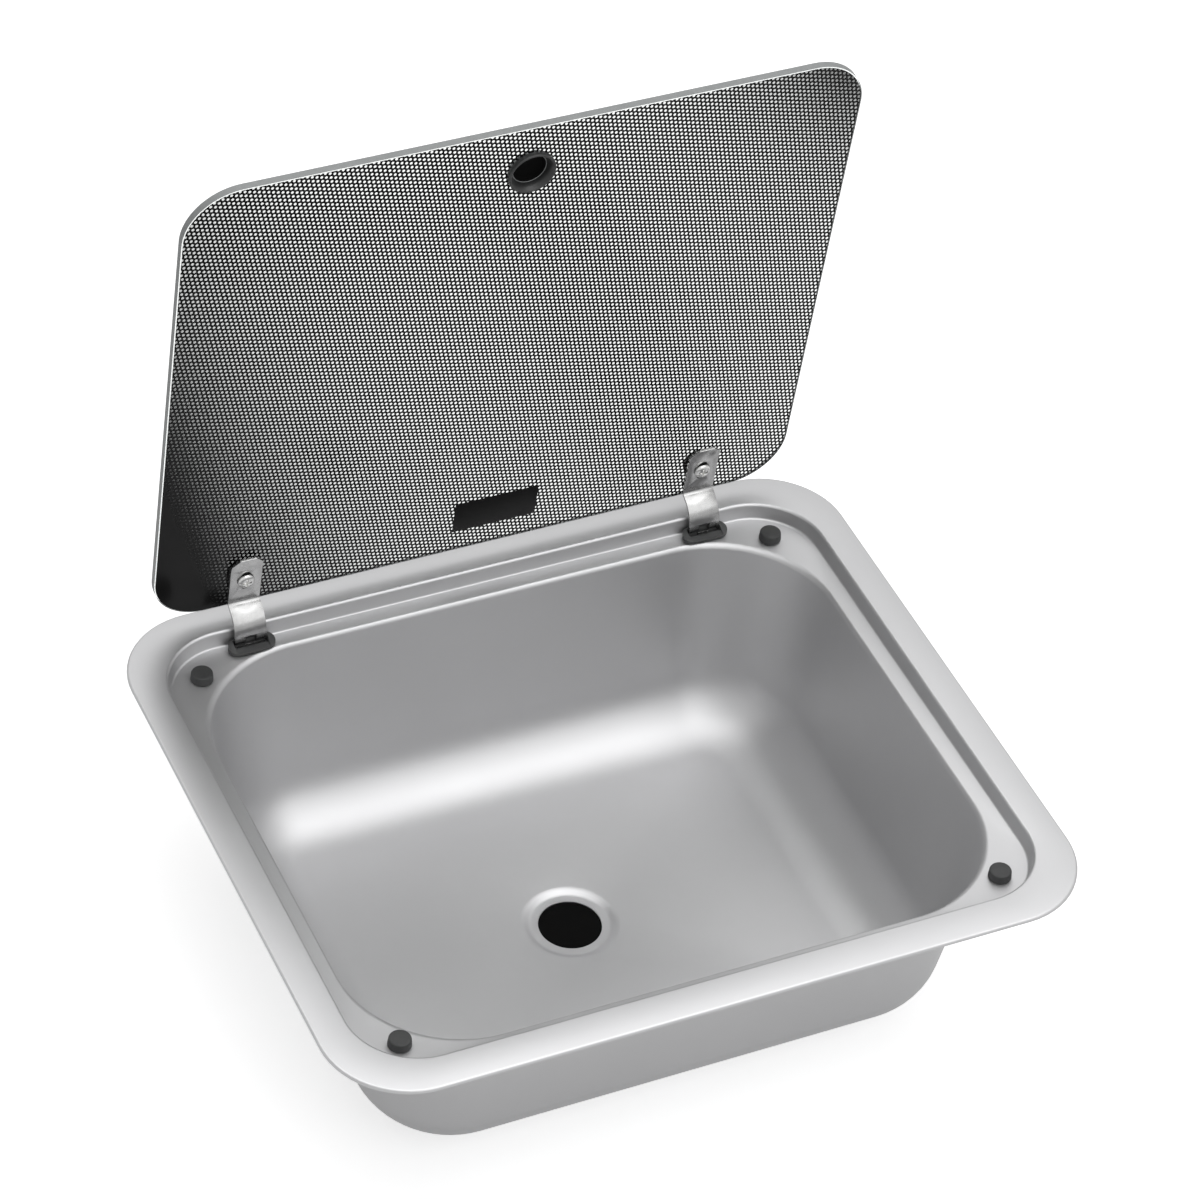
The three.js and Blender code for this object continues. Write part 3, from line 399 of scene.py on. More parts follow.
deep_black = finish_surface(
    "deep_black", light=(0.005, 0.005, 0.005), dark=(0.003, 0.003, 0.003), tone_scale=90,
    roughness=0.7, spread=0.1, blotch_scale=120, grain_scale=5000, grain_depth=0.000003, shine=0.04,
)
ground_edge_and_painted_highlight = finish_surface(
    "ground_edge_and_painted_highlight", light=(0.30, 0.31, 0.31), dark=(0.20, 0.21, 0.21), tone_scale=300,
    roughness=0.5, spread=0.12, blotch_scale=300, grain_scale=7000, grain_depth=0.000003,
)


def clear_glass():
    """Clear glass with the faintest smears."""
    material, shader = new_material("clear_glass")
    link = material.node_tree.links.new
    smears = place_effect(material, BLOTCHES, Middle=0.02, Spread=0.02, Scale=18)
    shader.inputs["Base Color"].default_value = (0.93, 0.95, 0.94, 1)
    shader.inputs["Transmission Weight"].default_value = 1
    shader.inputs["IOR"].default_value = 1.5
    link(smears.outputs["Value"], shader.inputs["Roughness"])
    return material


# The print's rows: two waves across the glass in turns per millimetre; the third is their difference.
DOT_WAVE_A = Vector((0.426, 0.1055, 0))
DOT_WAVE_B = Vector((0.1104, 0.378, 0))
DOT_EDGE = 0.5
DOT_SOFTNESS = 0.25
DOT_SHINE = 0.08
# Where painted shade dims the dots: shares of the way across and up, where they begin to clear, and
# the length in millimetres over which they do.
PAINTED_SHADE_LOW_LEFT = (3, 1, -445, 125)
PAINTED_SHADE_TOP_RIGHT = (-1, -1, -514, 40)


def dot_print_and_painted_shade():
    """Black enamel with a hexagonal field of clear dots, which painted shade dims towards two corners.
    """
    material, shader = new_material("dot_print_and_painted_shade")
    tree = material.node_tree
    link = tree.links.new
    place = add_node(tree, "ShaderNodeTexCoord")
    on_lid = add_node(tree, "ShaderNodeMapping", vector_type="TEXTURE")
    on_lid.inputs["Location"].default_value = (0, LID_OPEN_Y * MM, FLANGE_TOP * MM)
    on_lid.inputs["Rotation"].default_value = (LID_OPEN_ANGLE, 0, 0)
    on_lid.inputs["Scale"].default_value = (MM, MM, MM)
    link(place.outputs["Object"], on_lid.inputs["Vector"])

    def wave(turns):
        along = add_node(tree, "ShaderNodeVectorMath", operation="DOT_PRODUCT")
        along.inputs[1].default_value = turns * 2 * math.pi
        swing = add_node(tree, "ShaderNodeMath", operation="COSINE")
        link(on_lid.outputs["Vector"], along.inputs[0])
        link(along.outputs["Value"], swing.inputs[0])
        return swing.outputs[0]

    def combined(operation, first, second):
        node = add_node(tree, "ShaderNodeMath", operation=operation)
        for socket, value in zip(node.inputs, (first, second)):
            if isinstance(value, (int, float)):
                socket.default_value = value
            else:
                link(value, socket)
        return node.outputs[0]

    waves = [wave(DOT_WAVE_A), wave(DOT_WAVE_B), wave(DOT_WAVE_A - DOT_WAVE_B)]
    field = combined("ADD", combined("ADD", waves[0], waves[1]), waves[2])
    dots = add_node(tree, "ShaderNodeMapRange", interpolation_type="SMOOTHSTEP")
    dots.inputs["From Min"].default_value = DOT_EDGE - DOT_SOFTNESS / 2
    dots.inputs["From Max"].default_value = DOT_EDGE + DOT_SOFTNESS / 2
    link(field, dots.inputs["Value"])

    across = add_node(tree, "ShaderNodeSeparateXYZ")
    link(on_lid.outputs["Vector"], across.inputs[0])

    def painted_shade_clearing(across_share, up_share, start, length):
        """How clear the painted shade leaves the dots: 0 up to a slanted line, then ever nearer to 1.
        """
        run = combined("ADD", combined("MULTIPLY", across.outputs["X"], across_share / length),
                       combined("MULTIPLY", across.outputs["Y"], up_share / length))
        past = combined("MAXIMUM", combined("SUBTRACT", run, start / length), 0)
        return combined("SUBTRACT", 1, combined("EXPONENT", combined("MULTIPLY", past, -1), 0))

    # Painted shade: the dots close up towards the lower left and upper right corners.
    clear = combined("MULTIPLY", painted_shade_clearing(*PAINTED_SHADE_LOW_LEFT), painted_shade_clearing(*PAINTED_SHADE_TOP_RIGHT))
    openness = combined("MULTIPLY", dots.outputs["Result"], clear)
    alpha = combined("SUBTRACT", 1.0, openness)

    tone = place_effect(material, TONE, Light_Tone=(0.012, 0.012, 0.012, 1),
                        Dark_Tone=(0.007, 0.007, 0.007, 1), Scale=40)
    sheen = place_effect(material, BLOTCHES, Middle=0.16, Spread=0.08, Scale=30)
    link(tone.outputs["Color"], shader.inputs["Base Color"])
    link(sheen.outputs["Value"], shader.inputs["Roughness"])
    link(alpha, shader.inputs["Alpha"])
    shader.inputs["Specular IOR Level"].default_value = DOT_SHINE
    return material


clear_glass_finish = clear_glass()
dot_print_and_painted_shade_finish = dot_print_and_painted_shade()

# ---------------------------------------------------------------- modelling helpers, in millimetres


def add_piece(name, bm, body, finishes, place=None, smooth_below=32):
    """Makes the finished mesh a piece in metres that rides on a body."""
    bmesh.ops.transform(
        bm, matrix=Matrix.Scale(MM, 4) @ (place or Matrix.Identity(4)), verts=bm.verts,
    )
    mesh = bpy.data.meshes.new(name)
    bm.to_mesh(mesh)
    bm.free()
    for finish in finishes:
        mesh.materials.append(finish)
    mesh.shade_smooth()
    mesh.set_sharp_from_angle(angle=math.radians(smooth_below))
    piece = bpy.data.objects.new(name, mesh)
    bpy.context.scene.collection.objects.link(piece)
    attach(piece, body)
    return piece


def rounded_loop(bm, half_x, half_y, corner, z, steps, centre_y=0.0):
    """The edges of a rounded rectangle that lies flat at a height."""
    placed = Matrix.Translation((0, centre_y, z)) @ Matrix.Diagonal((half_x, half_y, 1, 1))
    grid = bmesh.ops.create_grid(bm, x_segments=1, y_segments=1, size=1, matrix=placed)
    if corner > 0:
        rounded = bmesh.ops.bevel(
            bm, geom=grid["verts"], offset=corner, offset_type="OFFSET", segments=steps,
            profile=0.5, affect="VERTICES", material=-1,
        )
        face = rounded["verts"][0].link_faces[0]
    else:
        face = grid["verts"][0].link_faces[0]
    edges = list(face.edges)
    bmesh.ops.delete(bm, geom=[face], context="FACES_ONLY")
    return edges


def circle_loop(bm, diameter, x, y, z, steps):
    """The edges of a circle that lies flat at a height."""
    made = bmesh.ops.create_circle(
        bm, cap_ends=False, radius=diameter / 2, segments=steps,
        matrix=Matrix.Translation((x, y, z)),
    )
    return list({edge for vert in made["verts"] for edge in vert.link_edges})


def soften_edges(bm, width, segments=2, above=30):
    """Rounds every edge where the surface turns by more than an angle."""
    bm.normal_update()
    sharp = [edge for edge in bm.edges
             if edge.is_manifold and edge.calc_face_angle(0) > math.radians(above)]
    bmesh.ops.bevel(
        bm, geom=sharp, offset=width, offset_type="OFFSET", segments=segments, profile=0.5,
        affect="EDGES", material=-1, clamp_overlap=True,
    )


def turned(points, steps, soften=0.0):
    """A solid turned about Z from (radius, height) points."""
    bm = bmesh.new()
    verts = [bm.verts.new((radius, 0, height)) for radius, height in points]
    edges = [bm.edges.new(ends) for ends in zip(verts, verts[1:])]
    bmesh.ops.spin(
        bm, geom=verts + edges, cent=(0, 0, 0), axis=(0, 0, 1), dvec=(0, 0, 0),
        angle=2 * math.pi, steps=steps, use_merge=True,
    )
    bmesh.ops.remove_doubles(bm, verts=bm.verts, dist=0.0005)
    bmesh.ops.recalc_face_normals(bm, faces=bm.faces)
    if soften:
        soften_edges(bm, soften, segments=3)
    return bm


def block(low, high):
    """A plain box from its lowest corner to its highest."""
    size = Vector(high) - Vector(low)
    middle = (Vector(high) + Vector(low)) / 2
    bm = bmesh.new()
    bmesh.ops.create_cube(
        bm, size=1, matrix=Matrix.Translation(middle) @ Matrix.Diagonal((*size, 1)),
    )
    return bm


def stadium(length, breadth, bottom, top):
    """An upright plug with round ends, along X about the middle."""
    bm = bmesh.new()
    loop = rounded_loop(bm, length / 2, breadth / 2, breadth / 2 - 0.001, bottom, 16)
    face = bmesh.ops.contextual_create(bm, geom=loop)["faces"]
    raised = bmesh.ops.extrude_face_region(bm, geom=face)
    verts = [item for item in raised["geom"] if isinstance(item, bmesh.types.BMVert)]
    bmesh.ops.translate(bm, vec=(0, 0, top - bottom), verts=verts)
    bmesh.ops.recalc_face_normals(bm, faces=bm.faces)
    return bm


def cut_away(bm, cutters):
    """Takes the cutters' solids out of a solid and gives back the result."""
    def temporary(name, source):
        mesh = bpy.data.meshes.new(name)
        source.to_mesh(mesh)
        source.free()
        stand_in = bpy.data.objects.new(name, mesh)
        bpy.context.scene.collection.objects.link(stand_in)
        return stand_in

    blank = temporary("blank", bm)
    tools = [temporary("tool", cutter) for cutter in cutters]
    for tool in tools:
        modifier = blank.modifiers.new("cut", "BOOLEAN")
        modifier.operation = "DIFFERENCE"
        modifier.solver = "EXACT"
        modifier.object = tool
    bpy.context.view_layer.update()
    shaped = blank.evaluated_get(bpy.context.evaluated_depsgraph_get())
    result = bmesh.new()
    result.from_mesh(shaped.to_mesh())
    shaped.to_mesh_clear()
    for item in [blank, *tools]:
        mesh = item.data
        bpy.data.objects.remove(item)
        bpy.data.meshes.remove(mesh)
    return result


def moved(bm, vec):
    """The same shape, shifted."""
    bmesh.ops.translate(bm, vec=vec, verts=bm.verts)
    return bm


# ---------------------------------------------------------------- pressed sink

BUMPER_PLACES = {
    "rear_left": (-BUMPER_X, BUMPER_Y),
    "rear_right": (BUMPER_X, BUMPER_Y),
    "front_left": (-BUMPER_X, -BUMPER_Y),
    "front_right": (BUMPER_X, -BUMPER_Y),
}

CORNER_STEPS = 14
LOOP_POINTS = 4 * (CORNER_STEPS + 1)
STACK_STEP = 10
SLOT_CUT = (LEDGE_Z - 4, LEDGE_Z + 2)
HOLE_CUT = (LEDGE_Z - 3, LEDGE_Z + 2)


def pressed_sheet():
    """The sheet's upper face: outlines at each bend are bridged, and the bends are then rolled over."""
    wall_run = (LEDGE_Z - FLOOR_Z) * math.tan(WALL_DRAFT)
    floor_run = FLOOR_FILLET * FLOOR_BLEND
    step_foot = FLANGE_SIDE + STEP_RUN
    mouth = step_foot + LEDGE_WIDTH
    extra = FLANGE_END - FLANGE_SIDE
    draft = math.pi / 2 - WALL_DRAFT
    fall_turn = math.atan2(LEDGE_FALL, LEDGE_WIDTH)
    step_turn = math.atan2(RECESS_DEPTH, STEP_RUN)
    # Each bend: how far in, how much further in at the ends, height, corner, fillet, turn and steps.
    bends = [
        (0, 0, 0, RIM_CORNER, 0, 0, 0),
        (0, 0, FLANGE_TOP, RIM_CORNER, LIP_RADIUS, math.pi / 2, 5),
        (FLANGE_SIDE, extra, FLANGE_TOP, RECESS_CORNER, CREST_RADIUS, step_turn, 6),
        (step_foot, extra, LEDGE_Z, RECESS_CORNER - STEP_RUN, FOOT_RADIUS, step_turn - fall_turn, 5),
        (mouth, extra, LEDGE_Z - LEDGE_FALL, MOUTH_CORNER, MOUTH_RADIUS, draft - fall_turn, 8),
        (mouth + wall_run, extra, FLOOR_Z, MOUTH_CORNER - wall_run, FLOOR_FILLET, draft, 20),
        (mouth + wall_run + floor_run, extra, FLOOR_Z,
         MOUTH_CORNER - wall_run - floor_run, 0, 0, 0),
    ]
    dish_z = FLOOR_Z - FLOOR_FALL
    seat_z = dish_z - DRAIN_STEP
    drain = [(DRAIN_DISH - DRAIN_LEAD, dish_z), (DRAIN_SEAT + DRAIN_LEAD / 2, seat_z),
             (DRAIN_HOLE, seat_z)]
    heights = [z for _, _, z, *_ in bends] + [z for _, z in drain]
    # Loops in one plane bridge crosswise, so they are stacked apart and then set to their heights.
    stack = [-STACK_STEP * index for index in range(len(heights))]
    bm = bmesh.new()
    loops = [rounded_loop(bm, RIM_WIDTH / 2 - run, RIM_DEPTH / 2 - run - end_extra, corner, level,
                          CORNER_STEPS)
             for (run, end_extra, _, corner, *_), level in zip(bends, stack)]
    loops += [circle_loop(bm, diameter, DRAIN_X, DRAIN_Y, level, LOOP_POINTS)
              for (diameter, _), level in zip(drain, stack[len(bends):])]
    for outer, inner in zip(loops, loops[1:]):
        bmesh.ops.bridge_loops(bm, edges=outer + inner)
    for loop, level, z in zip(loops, stack, heights):
        verts = list({vert for edge in loop for vert in edge.verts})
        bmesh.ops.translate(bm, vec=(0, 0, z - level), verts=verts)
    bm.normal_update()
    bmesh.ops.recalc_face_normals(bm, faces=bm.faces)
    flange = max(bm.faces, key=lambda face: face.calc_center_median().z)
    if flange.normal.z < 0:
        bmesh.ops.reverse_faces(bm, faces=bm.faces)
    rolled = [(loops[index], fillet * math.tan(turn / 2), steps)
              for index, (*_, fillet, turn, steps) in enumerate(bends) if fillet]
    dish_edge, seat_edge = loops[len(bends):len(bends) + 2]
    rolled += [(dish_edge, DISH_EDGE_ROUND, 4), (seat_edge, SEAT_EDGE_ROUND, 3)]
    for loop, offset, steps in rolled:
        bmesh.ops.bevel(
            bm, geom=loop, offset=offset, offset_type="OFFSET", segments=steps, profile=0.5,
            affect="EDGES", material=-1, clamp_overlap=False, loop_slide=True,
        )
    bm.normal_update()
    return bm


def sink_shell():
    """The sheet with its thickness, two slots for the housings and four holes for the bumpers."""
    bm = pressed_sheet()
    bmesh.ops.solidify(bm, geom=bm.faces[:], thickness=SHEET)
    slot_y = SLOT_REAR + HOUSING_REAR_WALL - HOUSING_NECK_BREADTH / 2
    slot_size = (HOUSING_NECK_LENGTH + 2 * SEAT_GAP, HOUSING_NECK_BREADTH + 2 * SEAT_GAP)
    cutters = [moved(stadium(*slot_size, *SLOT_CUT), (side * HINGE_X, slot_y, 0)) for side in (-1, 1)]
    radius = BUMPER_STEM / 2 + SEAT_GAP
    low, high = HOLE_CUT
    for x, y in BUMPER_PLACES.values():
        hole = turned([(0, low), (radius, low), (radius, high), (0, high)], 24)
        cutters.append(moved(hole, (x, y, 0)))
    return cut_away(bm, cutters)


shell = add_piece("pressed_sink", sink_shell(), "sink", [sink_steel])
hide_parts("sink_body")

# ---------------------------------------------------------------- bumpers


def bumper():
    """A rubber cushion with a stem and a barb that hold it in the ledge."""
    seat = LEDGE_Z + SEAT_GAP - LEDGE_FALL / 2
    barb_top = LEDGE_Z - SHEET - SEAT_GAP
    tail = barb_top - BUMPER_TAIL
    top = LEDGE_Z + BUMPER_HEIGHT
    return turned([
        (0, tail), (BUMPER_STEM / 2 - BUMPER_TAIL_TAPER, tail),
        (BUMPER_BARB / 2, barb_top - BUMPER_BARB_HEIGHT), (BUMPER_BARB / 2, barb_top),
        (BUMPER_STEM / 2, barb_top), (BUMPER_STEM / 2, seat),
        (BUMPER_BASE / 2, seat), (BUMPER_BASE / 2, seat + BUMPER_FOOT),
        *[(BUMPER_TOP / 2 - inwards, top - down) for inwards, down in BUMPER_CROWN], (0, top),
    ], 48, soften=0.12)


for corner_name, (x, y) in BUMPER_PLACES.items():
    piece = add_piece(f"cushion_{corner_name}", moved(bumper(), (x, y, 0)), "sink",
                      [bumper_rubber])
    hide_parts(f"bumper_{corner_name}")

# ---------------------------------------------------------------- hinge housings


def softened_copy(node, width, above=30):
    """A copy of a CAD node with merged corners and slightly rounded edges, in millimetres."""
    bm = bmesh.new()
    bm.from_mesh(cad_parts[node].data)
    bmesh.ops.transform(bm, matrix=Matrix.Scale(1 / MM, 4), verts=bm.verts)
    bmesh.ops.remove_doubles(bm, verts=bm.verts, dist=0.001)
    bmesh.ops.dissolve_limit(bm, angle_limit=math.radians(0.5), verts=bm.verts, edges=bm.edges)
    soften_edges(bm, width, above=above)
    return bm


for side in ("left", "right"):
    piece = add_piece(
        f"slotted_housing_{side}", softened_copy(f"hinge_housing_{side}", HOUSING_SOFTNESS),
        "sink", [housing_plastic],
    )
    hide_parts(f"hinge_housing_{side}")

# ---------------------------------------------------------------- glass lid


def pane_outline(bm, inset, w):
    """The glass outline and its three holes, as loops of edges at a height w off the inner face."""
    edges = rounded_loop(
        bm, GLASS_HALF_WIDTH - inset, GLASS_HALF_HEIGHT - inset, GLASS_CORNER - inset, w, 24,
        centre_y=GLASS_BOTTOM + GLASS_HALF_HEIGHT,
    )
    edges += circle_loop(bm, GRIP_NECK + 2 * SEAT_GAP + 2 * inset, 0, GRIP_V, w, 96)
    for x in (-HINGE_X, HINGE_X):
        edges += circle_loop(bm, NUT_BUSH + 2 * SEAT_GAP + 2 * inset, x, SCREW_V, w, 32)
    return edges


def sheet_with_holes(inset, front, thickness):
    """The glass outline as a flat solid, from its front height down by its thickness."""
    bm = bmesh.new()
    edges = pane_outline(bm, inset, front)
    bmesh.ops.triangle_fill(bm, use_beauty=True, edges=edges, normal=(0, 0, 1))
    bmesh.ops.recalc_face_normals(bm, faces=bm.faces)
    raised = bmesh.ops.extrude_face_region(bm, geom=bm.faces[:], use_keep_orig=True)
    verts = [item for item in raised["geom"] if isinstance(item, bmesh.types.BMVert)]
    bmesh.ops.translate(bm, vec=(0, 0, -thickness), verts=verts)
    bmesh.ops.recalc_face_normals(bm, faces=bm.faces)
    return bm


def lid_pane():
    """The glass, with its narrow edge faces in the second material."""
    bm = sheet_with_holes(PANE_TRIM, 0, GLASS_THICKNESS)
    soften_edges(bm, GLASS_ARRIS, segments=1, above=60)
    bm.normal_update()
    for face in bm.faces:
        face.material_index = 0 if abs(face.normal.z) > FACE_ON else 1
    return bm


FACE_ON = 0.95  # how nearly a face has to lie along the glass to count as its front or back
PRINT_INSET = 0.7
PRINT_FRONT = 0.06
PRINT_THICKNESS = 0.03

pane = add_piece("lid_pane", lid_pane(), "lid",
                 [clear_glass_finish, ground_edge_and_painted_highlight], place=LID)
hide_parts("lid_glass")
add_piece("enamel_print_and_painted_shade", sheet_with_holes(PRINT_INSET, PRINT_FRONT, PRINT_THICKNESS), "lid",
          [dot_print_and_painted_shade_finish], place=LID)


def label_plate():
    """A bare black rectangle in front of the print."""
    bm = block((LABEL_LEFT, LABEL_LOW, LABEL_BACK), (LABEL_RIGHT, LABEL_HIGH, LABEL_FRONT))
    soften_edges(bm, LABEL_SOFTNESS)
    return bm


add_piece("black_label", label_plate(), "lid", [label_black], place=LID)

# ---------------------------------------------------------------- grip


def grip_collar():
    """The dark ring: a flange, a mouth that narrows and a neck through the glass."""
    top = SEAT_GAP + GRIP_FLANGE_HEIGHT
    knob_top = GRIP_NECK_END + KNOB_HEIGHT
    return turned([
        (GRIP_BORE / 2, GRIP_NECK_END), (GRIP_NECK / 2, GRIP_NECK_END), (GRIP_NECK / 2, SEAT_GAP),
        (GRIP_FLANGE / 2, SEAT_GAP), (GRIP_FLANGE / 2, top - COLLAR_EDGE_DOWN),
        (GRIP_FLANGE / 2 - COLLAR_EDGE_IN, top),
        *[(GRIP_MOUTH / 2 - inwards, top - down) for inwards, down in COLLAR_FUNNEL],
        (GRIP_BORE / 2, knob_top + SEAT_GAP), (GRIP_BORE / 2, GRIP_NECK_END),
    ], 96, soften=0.14)


def grip_knob():
    """The shallow cup that closes the collar's neck."""
    outer = GRIP_BORE / 2 - SEAT_GAP
    hollow = outer - KNOB_WALL
    floor = GRIP_NECK_END + KNOB_WALL
    knob_top = GRIP_NECK_END + KNOB_HEIGHT
    cup = turned([
        (0, GRIP_NECK_END), (outer - KNOB_ROUND, GRIP_NECK_END), (outer, GRIP_NECK_END + KNOB_ROUND),
        (outer, knob_top - KNOB_ARRIS), (outer - KNOB_ARRIS, knob_top),
        (outer - 2 * KNOB_ARRIS, knob_top - KNOB_ARRIS),
        (hollow, knob_top - KNOB_WALL), (hollow, floor + KNOB_ROUND),
        (hollow - KNOB_ROUND, floor), (0, floor),
    ], 96)
    # The faces along the cup's top edge take the pale finish: a painted highlight.
    for face in cup.faces:
        face.material_index = 1 if face.calc_center_median().z > knob_top - KNOB_ARRIS else 0
    return cup


for name, bm, node, finishes in (
    ("collar_ring", grip_collar(), "grip_collar", [collar_plastic]),
    ("round_knob", grip_knob(), "grip_knob", [deep_black, ground_edge_and_painted_highlight]),
):
    piece = add_piece(name, moved(bm, (0, GRIP_V, 0)), "lid", finishes, place=LID)
    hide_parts(node)

# ---------------------------------------------------------------- hinge straps


def curved_strap():
    """Strip steel about the lid's X = 0: two flats, a tight bend and a long curve round the hinge."""
    bend_w = STRAP_MIDDLE_W + STRAP_BEND
    reach = STRAP_RADIUS + STRAP_BEND
    bend_v = PIVOT_IN_LID.y + math.sqrt(reach ** 2 - (bend_w - PIVOT_IN_LID.z) ** 2)
    meet = math.atan2(bend_v - PIVOT_IN_LID.y, bend_w - PIVOT_IN_LID.z)
    end_angle = math.pi / 2 - (STRAP_END_ANGLE - LID_OPEN_ANGLE)
    tip_w = STRAP_MIDDLE_W + (STRAP_TOP - STRAP_TIP_BEND) * math.tan(STRAP_TIP_ANGLE)
    half = STRAP_WIDTH / 2
    bm = bmesh.new()
    ends = [bm.verts.new((x, STRAP_TOP, tip_w)) for x in (-half, half)]
    running = [bm.edges.new(ends)]

    def run_on(vec):
        made = bmesh.ops.extrude_edge_only(bm, edges=running)["geom"]
        running[:] = [item for item in made if isinstance(item, bmesh.types.BMEdge)]
        bmesh.ops.translate(
            bm, vec=vec, verts=[item for item in made if isinstance(item, bmesh.types.BMVert)],
        )

    def turn_round(centre, angle, steps):
        made = bmesh.ops.spin(
            bm, geom=running + [vert for edge in running for vert in edge.verts],
            cent=centre, axis=(1, 0, 0), dvec=(0, 0, 0), angle=angle, steps=steps,
        )["geom_last"]
        running[:] = [item for item in made if isinstance(item, bmesh.types.BMEdge)]

    run_on((0, STRAP_TIP_BEND - STRAP_TOP, STRAP_MIDDLE_W - tip_w))
    run_on((0, bend_v - STRAP_TIP_BEND, 0))
    turn_round((0, bend_v, bend_w), -meet, STRAP_BEND_STEPS)
    turn_round((0, PIVOT_IN_LID.y, PIVOT_IN_LID.z), meet - end_angle, STRAP_ARC_STEPS)
    bmesh.ops.remove_doubles(bm, verts=bm.verts, dist=0.001)
    bmesh.ops.recalc_face_normals(bm, faces=bm.faces)
    bm.normal_update()
    for vert in bm.verts:
        vert.co += vert.normal * STRAP_THICKNESS / 2
    bmesh.ops.solidify(bm, geom=bm.faces[:], thickness=STRAP_THICKNESS)
    bmesh.ops.recalc_face_normals(bm, faces=bm.faces)
    return bm


CUTTER_HALF = 10
CORNER_CUT = (-1, 8)
SCREW_SLOT_CUT = (-1, 6)


def swivelled(bm, angle):
    """The same shape, turned about Z."""
    turn = Matrix.Rotation(angle, 3, "Z")
    bmesh.ops.rotate(bm, cent=(0, 0, 0), matrix=turn, verts=bm.verts)
    return bm


def trimmed_strap():
    """The strap with its screw slot, its notch and its two cut corners."""
    bm = curved_strap()
    slot_length = STRAP_SLOT_TOP - STRAP_SLOT_BOTTOM
    slot = swivelled(stadium(slot_length, STRAP_SLOT_WIDTH, *SCREW_SLOT_CUT), math.pi / 2)
    moved(slot, (0, (STRAP_SLOT_TOP + STRAP_SLOT_BOTTOM) / 2, 0))
    notch_turn = math.pi / 2 - (STRAP_NOTCH_ANGLE - LID_OPEN_ANGLE)
    notch_top = STRAP_RADIUS * math.sin(notch_turn) + PIVOT_IN_LID.y
    notch = block(
        (-STRAP_NOTCH_WIDTH / 2, notch_top - STRAP_NOTCH_LENGTH, PIVOT_IN_LID.z + STRAP_RADIUS / 2),
        (STRAP_NOTCH_WIDTH / 2, notch_top, PIVOT_IN_LID.z + STRAP_RADIUS * 1.5),
    )
    cutters = [slot, notch]
    low, high = CORNER_CUT
    for side in (-1, 1):
        corner = swivelled(
            block((-CUTTER_HALF, -CUTTER_HALF, low), (CUTTER_HALF, CUTTER_HALF, high)), math.pi / 4,
        )
        moved(corner, (
            side * (STRAP_WIDTH / 2 + CUTTER_HALF / math.sqrt(2) - STRAP_TIP_CHAMFER / 2),
            STRAP_TOP + CUTTER_HALF / math.sqrt(2) - STRAP_TIP_CHAMFER / 2, 0,
        ))
        cutters.append(corner)
    shaped = cut_away(bm, cutters)
    bmesh.ops.remove_doubles(shaped, verts=shaped.verts, dist=0.002)
    bmesh.ops.dissolve_limit(shaped, angle_limit=math.radians(0.3), verts=shaped.verts,
                             edges=shaped.edges)
    soften_edges(shaped, STRAP_SOFTNESS, above=50)
    return shaped


def lid_screw():
    """A dome-headed screw with a cross recess, through the strap, the pad and the glass."""
    bottom = STRAP_MIDDLE_W + STRAP_THICKNESS / 2 + SEAT_GAP
    top = bottom + SCREW_HEAD_HEIGHT
    radius = SCREW_HEAD / 2
    tip = NUT_BACK_W - NUT_FLANGE_HEIGHT * SCREW_REACH_SHARE
    crown_share, crown_drop = SCREW_CROWN
    head = turned([
        (0, tip), (SCREW_SHANK / 2, tip), (SCREW_SHANK / 2, bottom), (radius, bottom),
        *[(radius * share, bottom + height) for share, height in SCREW_DOME],
        (radius * crown_share, top - crown_drop), (0, top),
    ], 64)
    long, short = SCREW_RECESS / 2, SCREW_RECESS / 8
    arms = [block((-x, -y, top - SCREW_RECESS_DEPTH), (x, y, top + 1))
            for x, y in ((long, short), (short, long))]
    return cut_away(head, arms)


def nut_washer():
    """The soft ring between the glass and the nut."""
    bottom = -GLASS_THICKNESS - SEAT_GAP - WASHER_THICKNESS
    outer = NUT_FLANGE / 2 - WASHER_INSET
    inner = NUT_BUSH / 2 + SEAT_GAP
    return turned([
        (inner, bottom), (outer, bottom), (outer, bottom + WASHER_THICKNESS),
        (inner, bottom + WASHER_THICKNESS), (inner, bottom),
    ], 48, soften=0.12)


def cap_nut():
    """A closed round nut with a bush that reaches into the glass."""
    radius = NUT_FLANGE / 2
    bore = SCREW_SHANK / 2 + SEAT_GAP
    cap_bottom = NUT_BACK_W - NUT_FLANGE_HEIGHT
    bore_end = NUT_BACK_W - NUT_FLANGE_HEIGHT * NUT_BORE_SHARE
    return turned([
        (0, cap_bottom), (radius - NUT_EDGE, cap_bottom),
        (radius - NUT_EDGE_INSET, cap_bottom + NUT_EDGE_INSET),
        (radius, cap_bottom + NUT_EDGE), (radius, NUT_BACK_W), (NUT_BUSH / 2, NUT_BACK_W),
        (NUT_BUSH / 2, -SEAT_GAP), (bore, -SEAT_GAP), (bore, bore_end), (0, bore_end),
    ], 64, soften=0.14)


for side, x in (("left", -HINGE_X), ("right", HINGE_X)):
    for name, bm, v, node, slot, finish in (
        ("curved_strap", trimmed_strap(), 0, "hinge_strap", "strap_steel", strap_steel),
        ("dome_screw", lid_screw(), SCREW_V, "lid_screw", "spring_steel", screw_zinc),
        ("soft_washer", nut_washer(), SCREW_V, "nut_washer", "dark_rubber", bumper_rubber),
        ("round_nut", cap_nut(), SCREW_V, "cap_nut", "dark_plastic", collar_plastic),
    ):
        piece = add_piece(f"{name}_{side}", moved(bm, (x, v, 0)), "lid", [finish], place=LID)
        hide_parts(f"{node}_{side}")

# ---------------------------------------------------------------- CAD pieces that keep their shape

for node, finish in (
    ("rim_seal", bumper_rubber),
    ("detent_spring_left", dull_spring),
    ("detent_spring_right", dull_spring),
    ("strap_pad_left", bumper_rubber),
    ("strap_pad_right", bumper_rubber),
):
    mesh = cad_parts[node].data
    mesh.materials.clear()
    mesh.materials.append(finish)

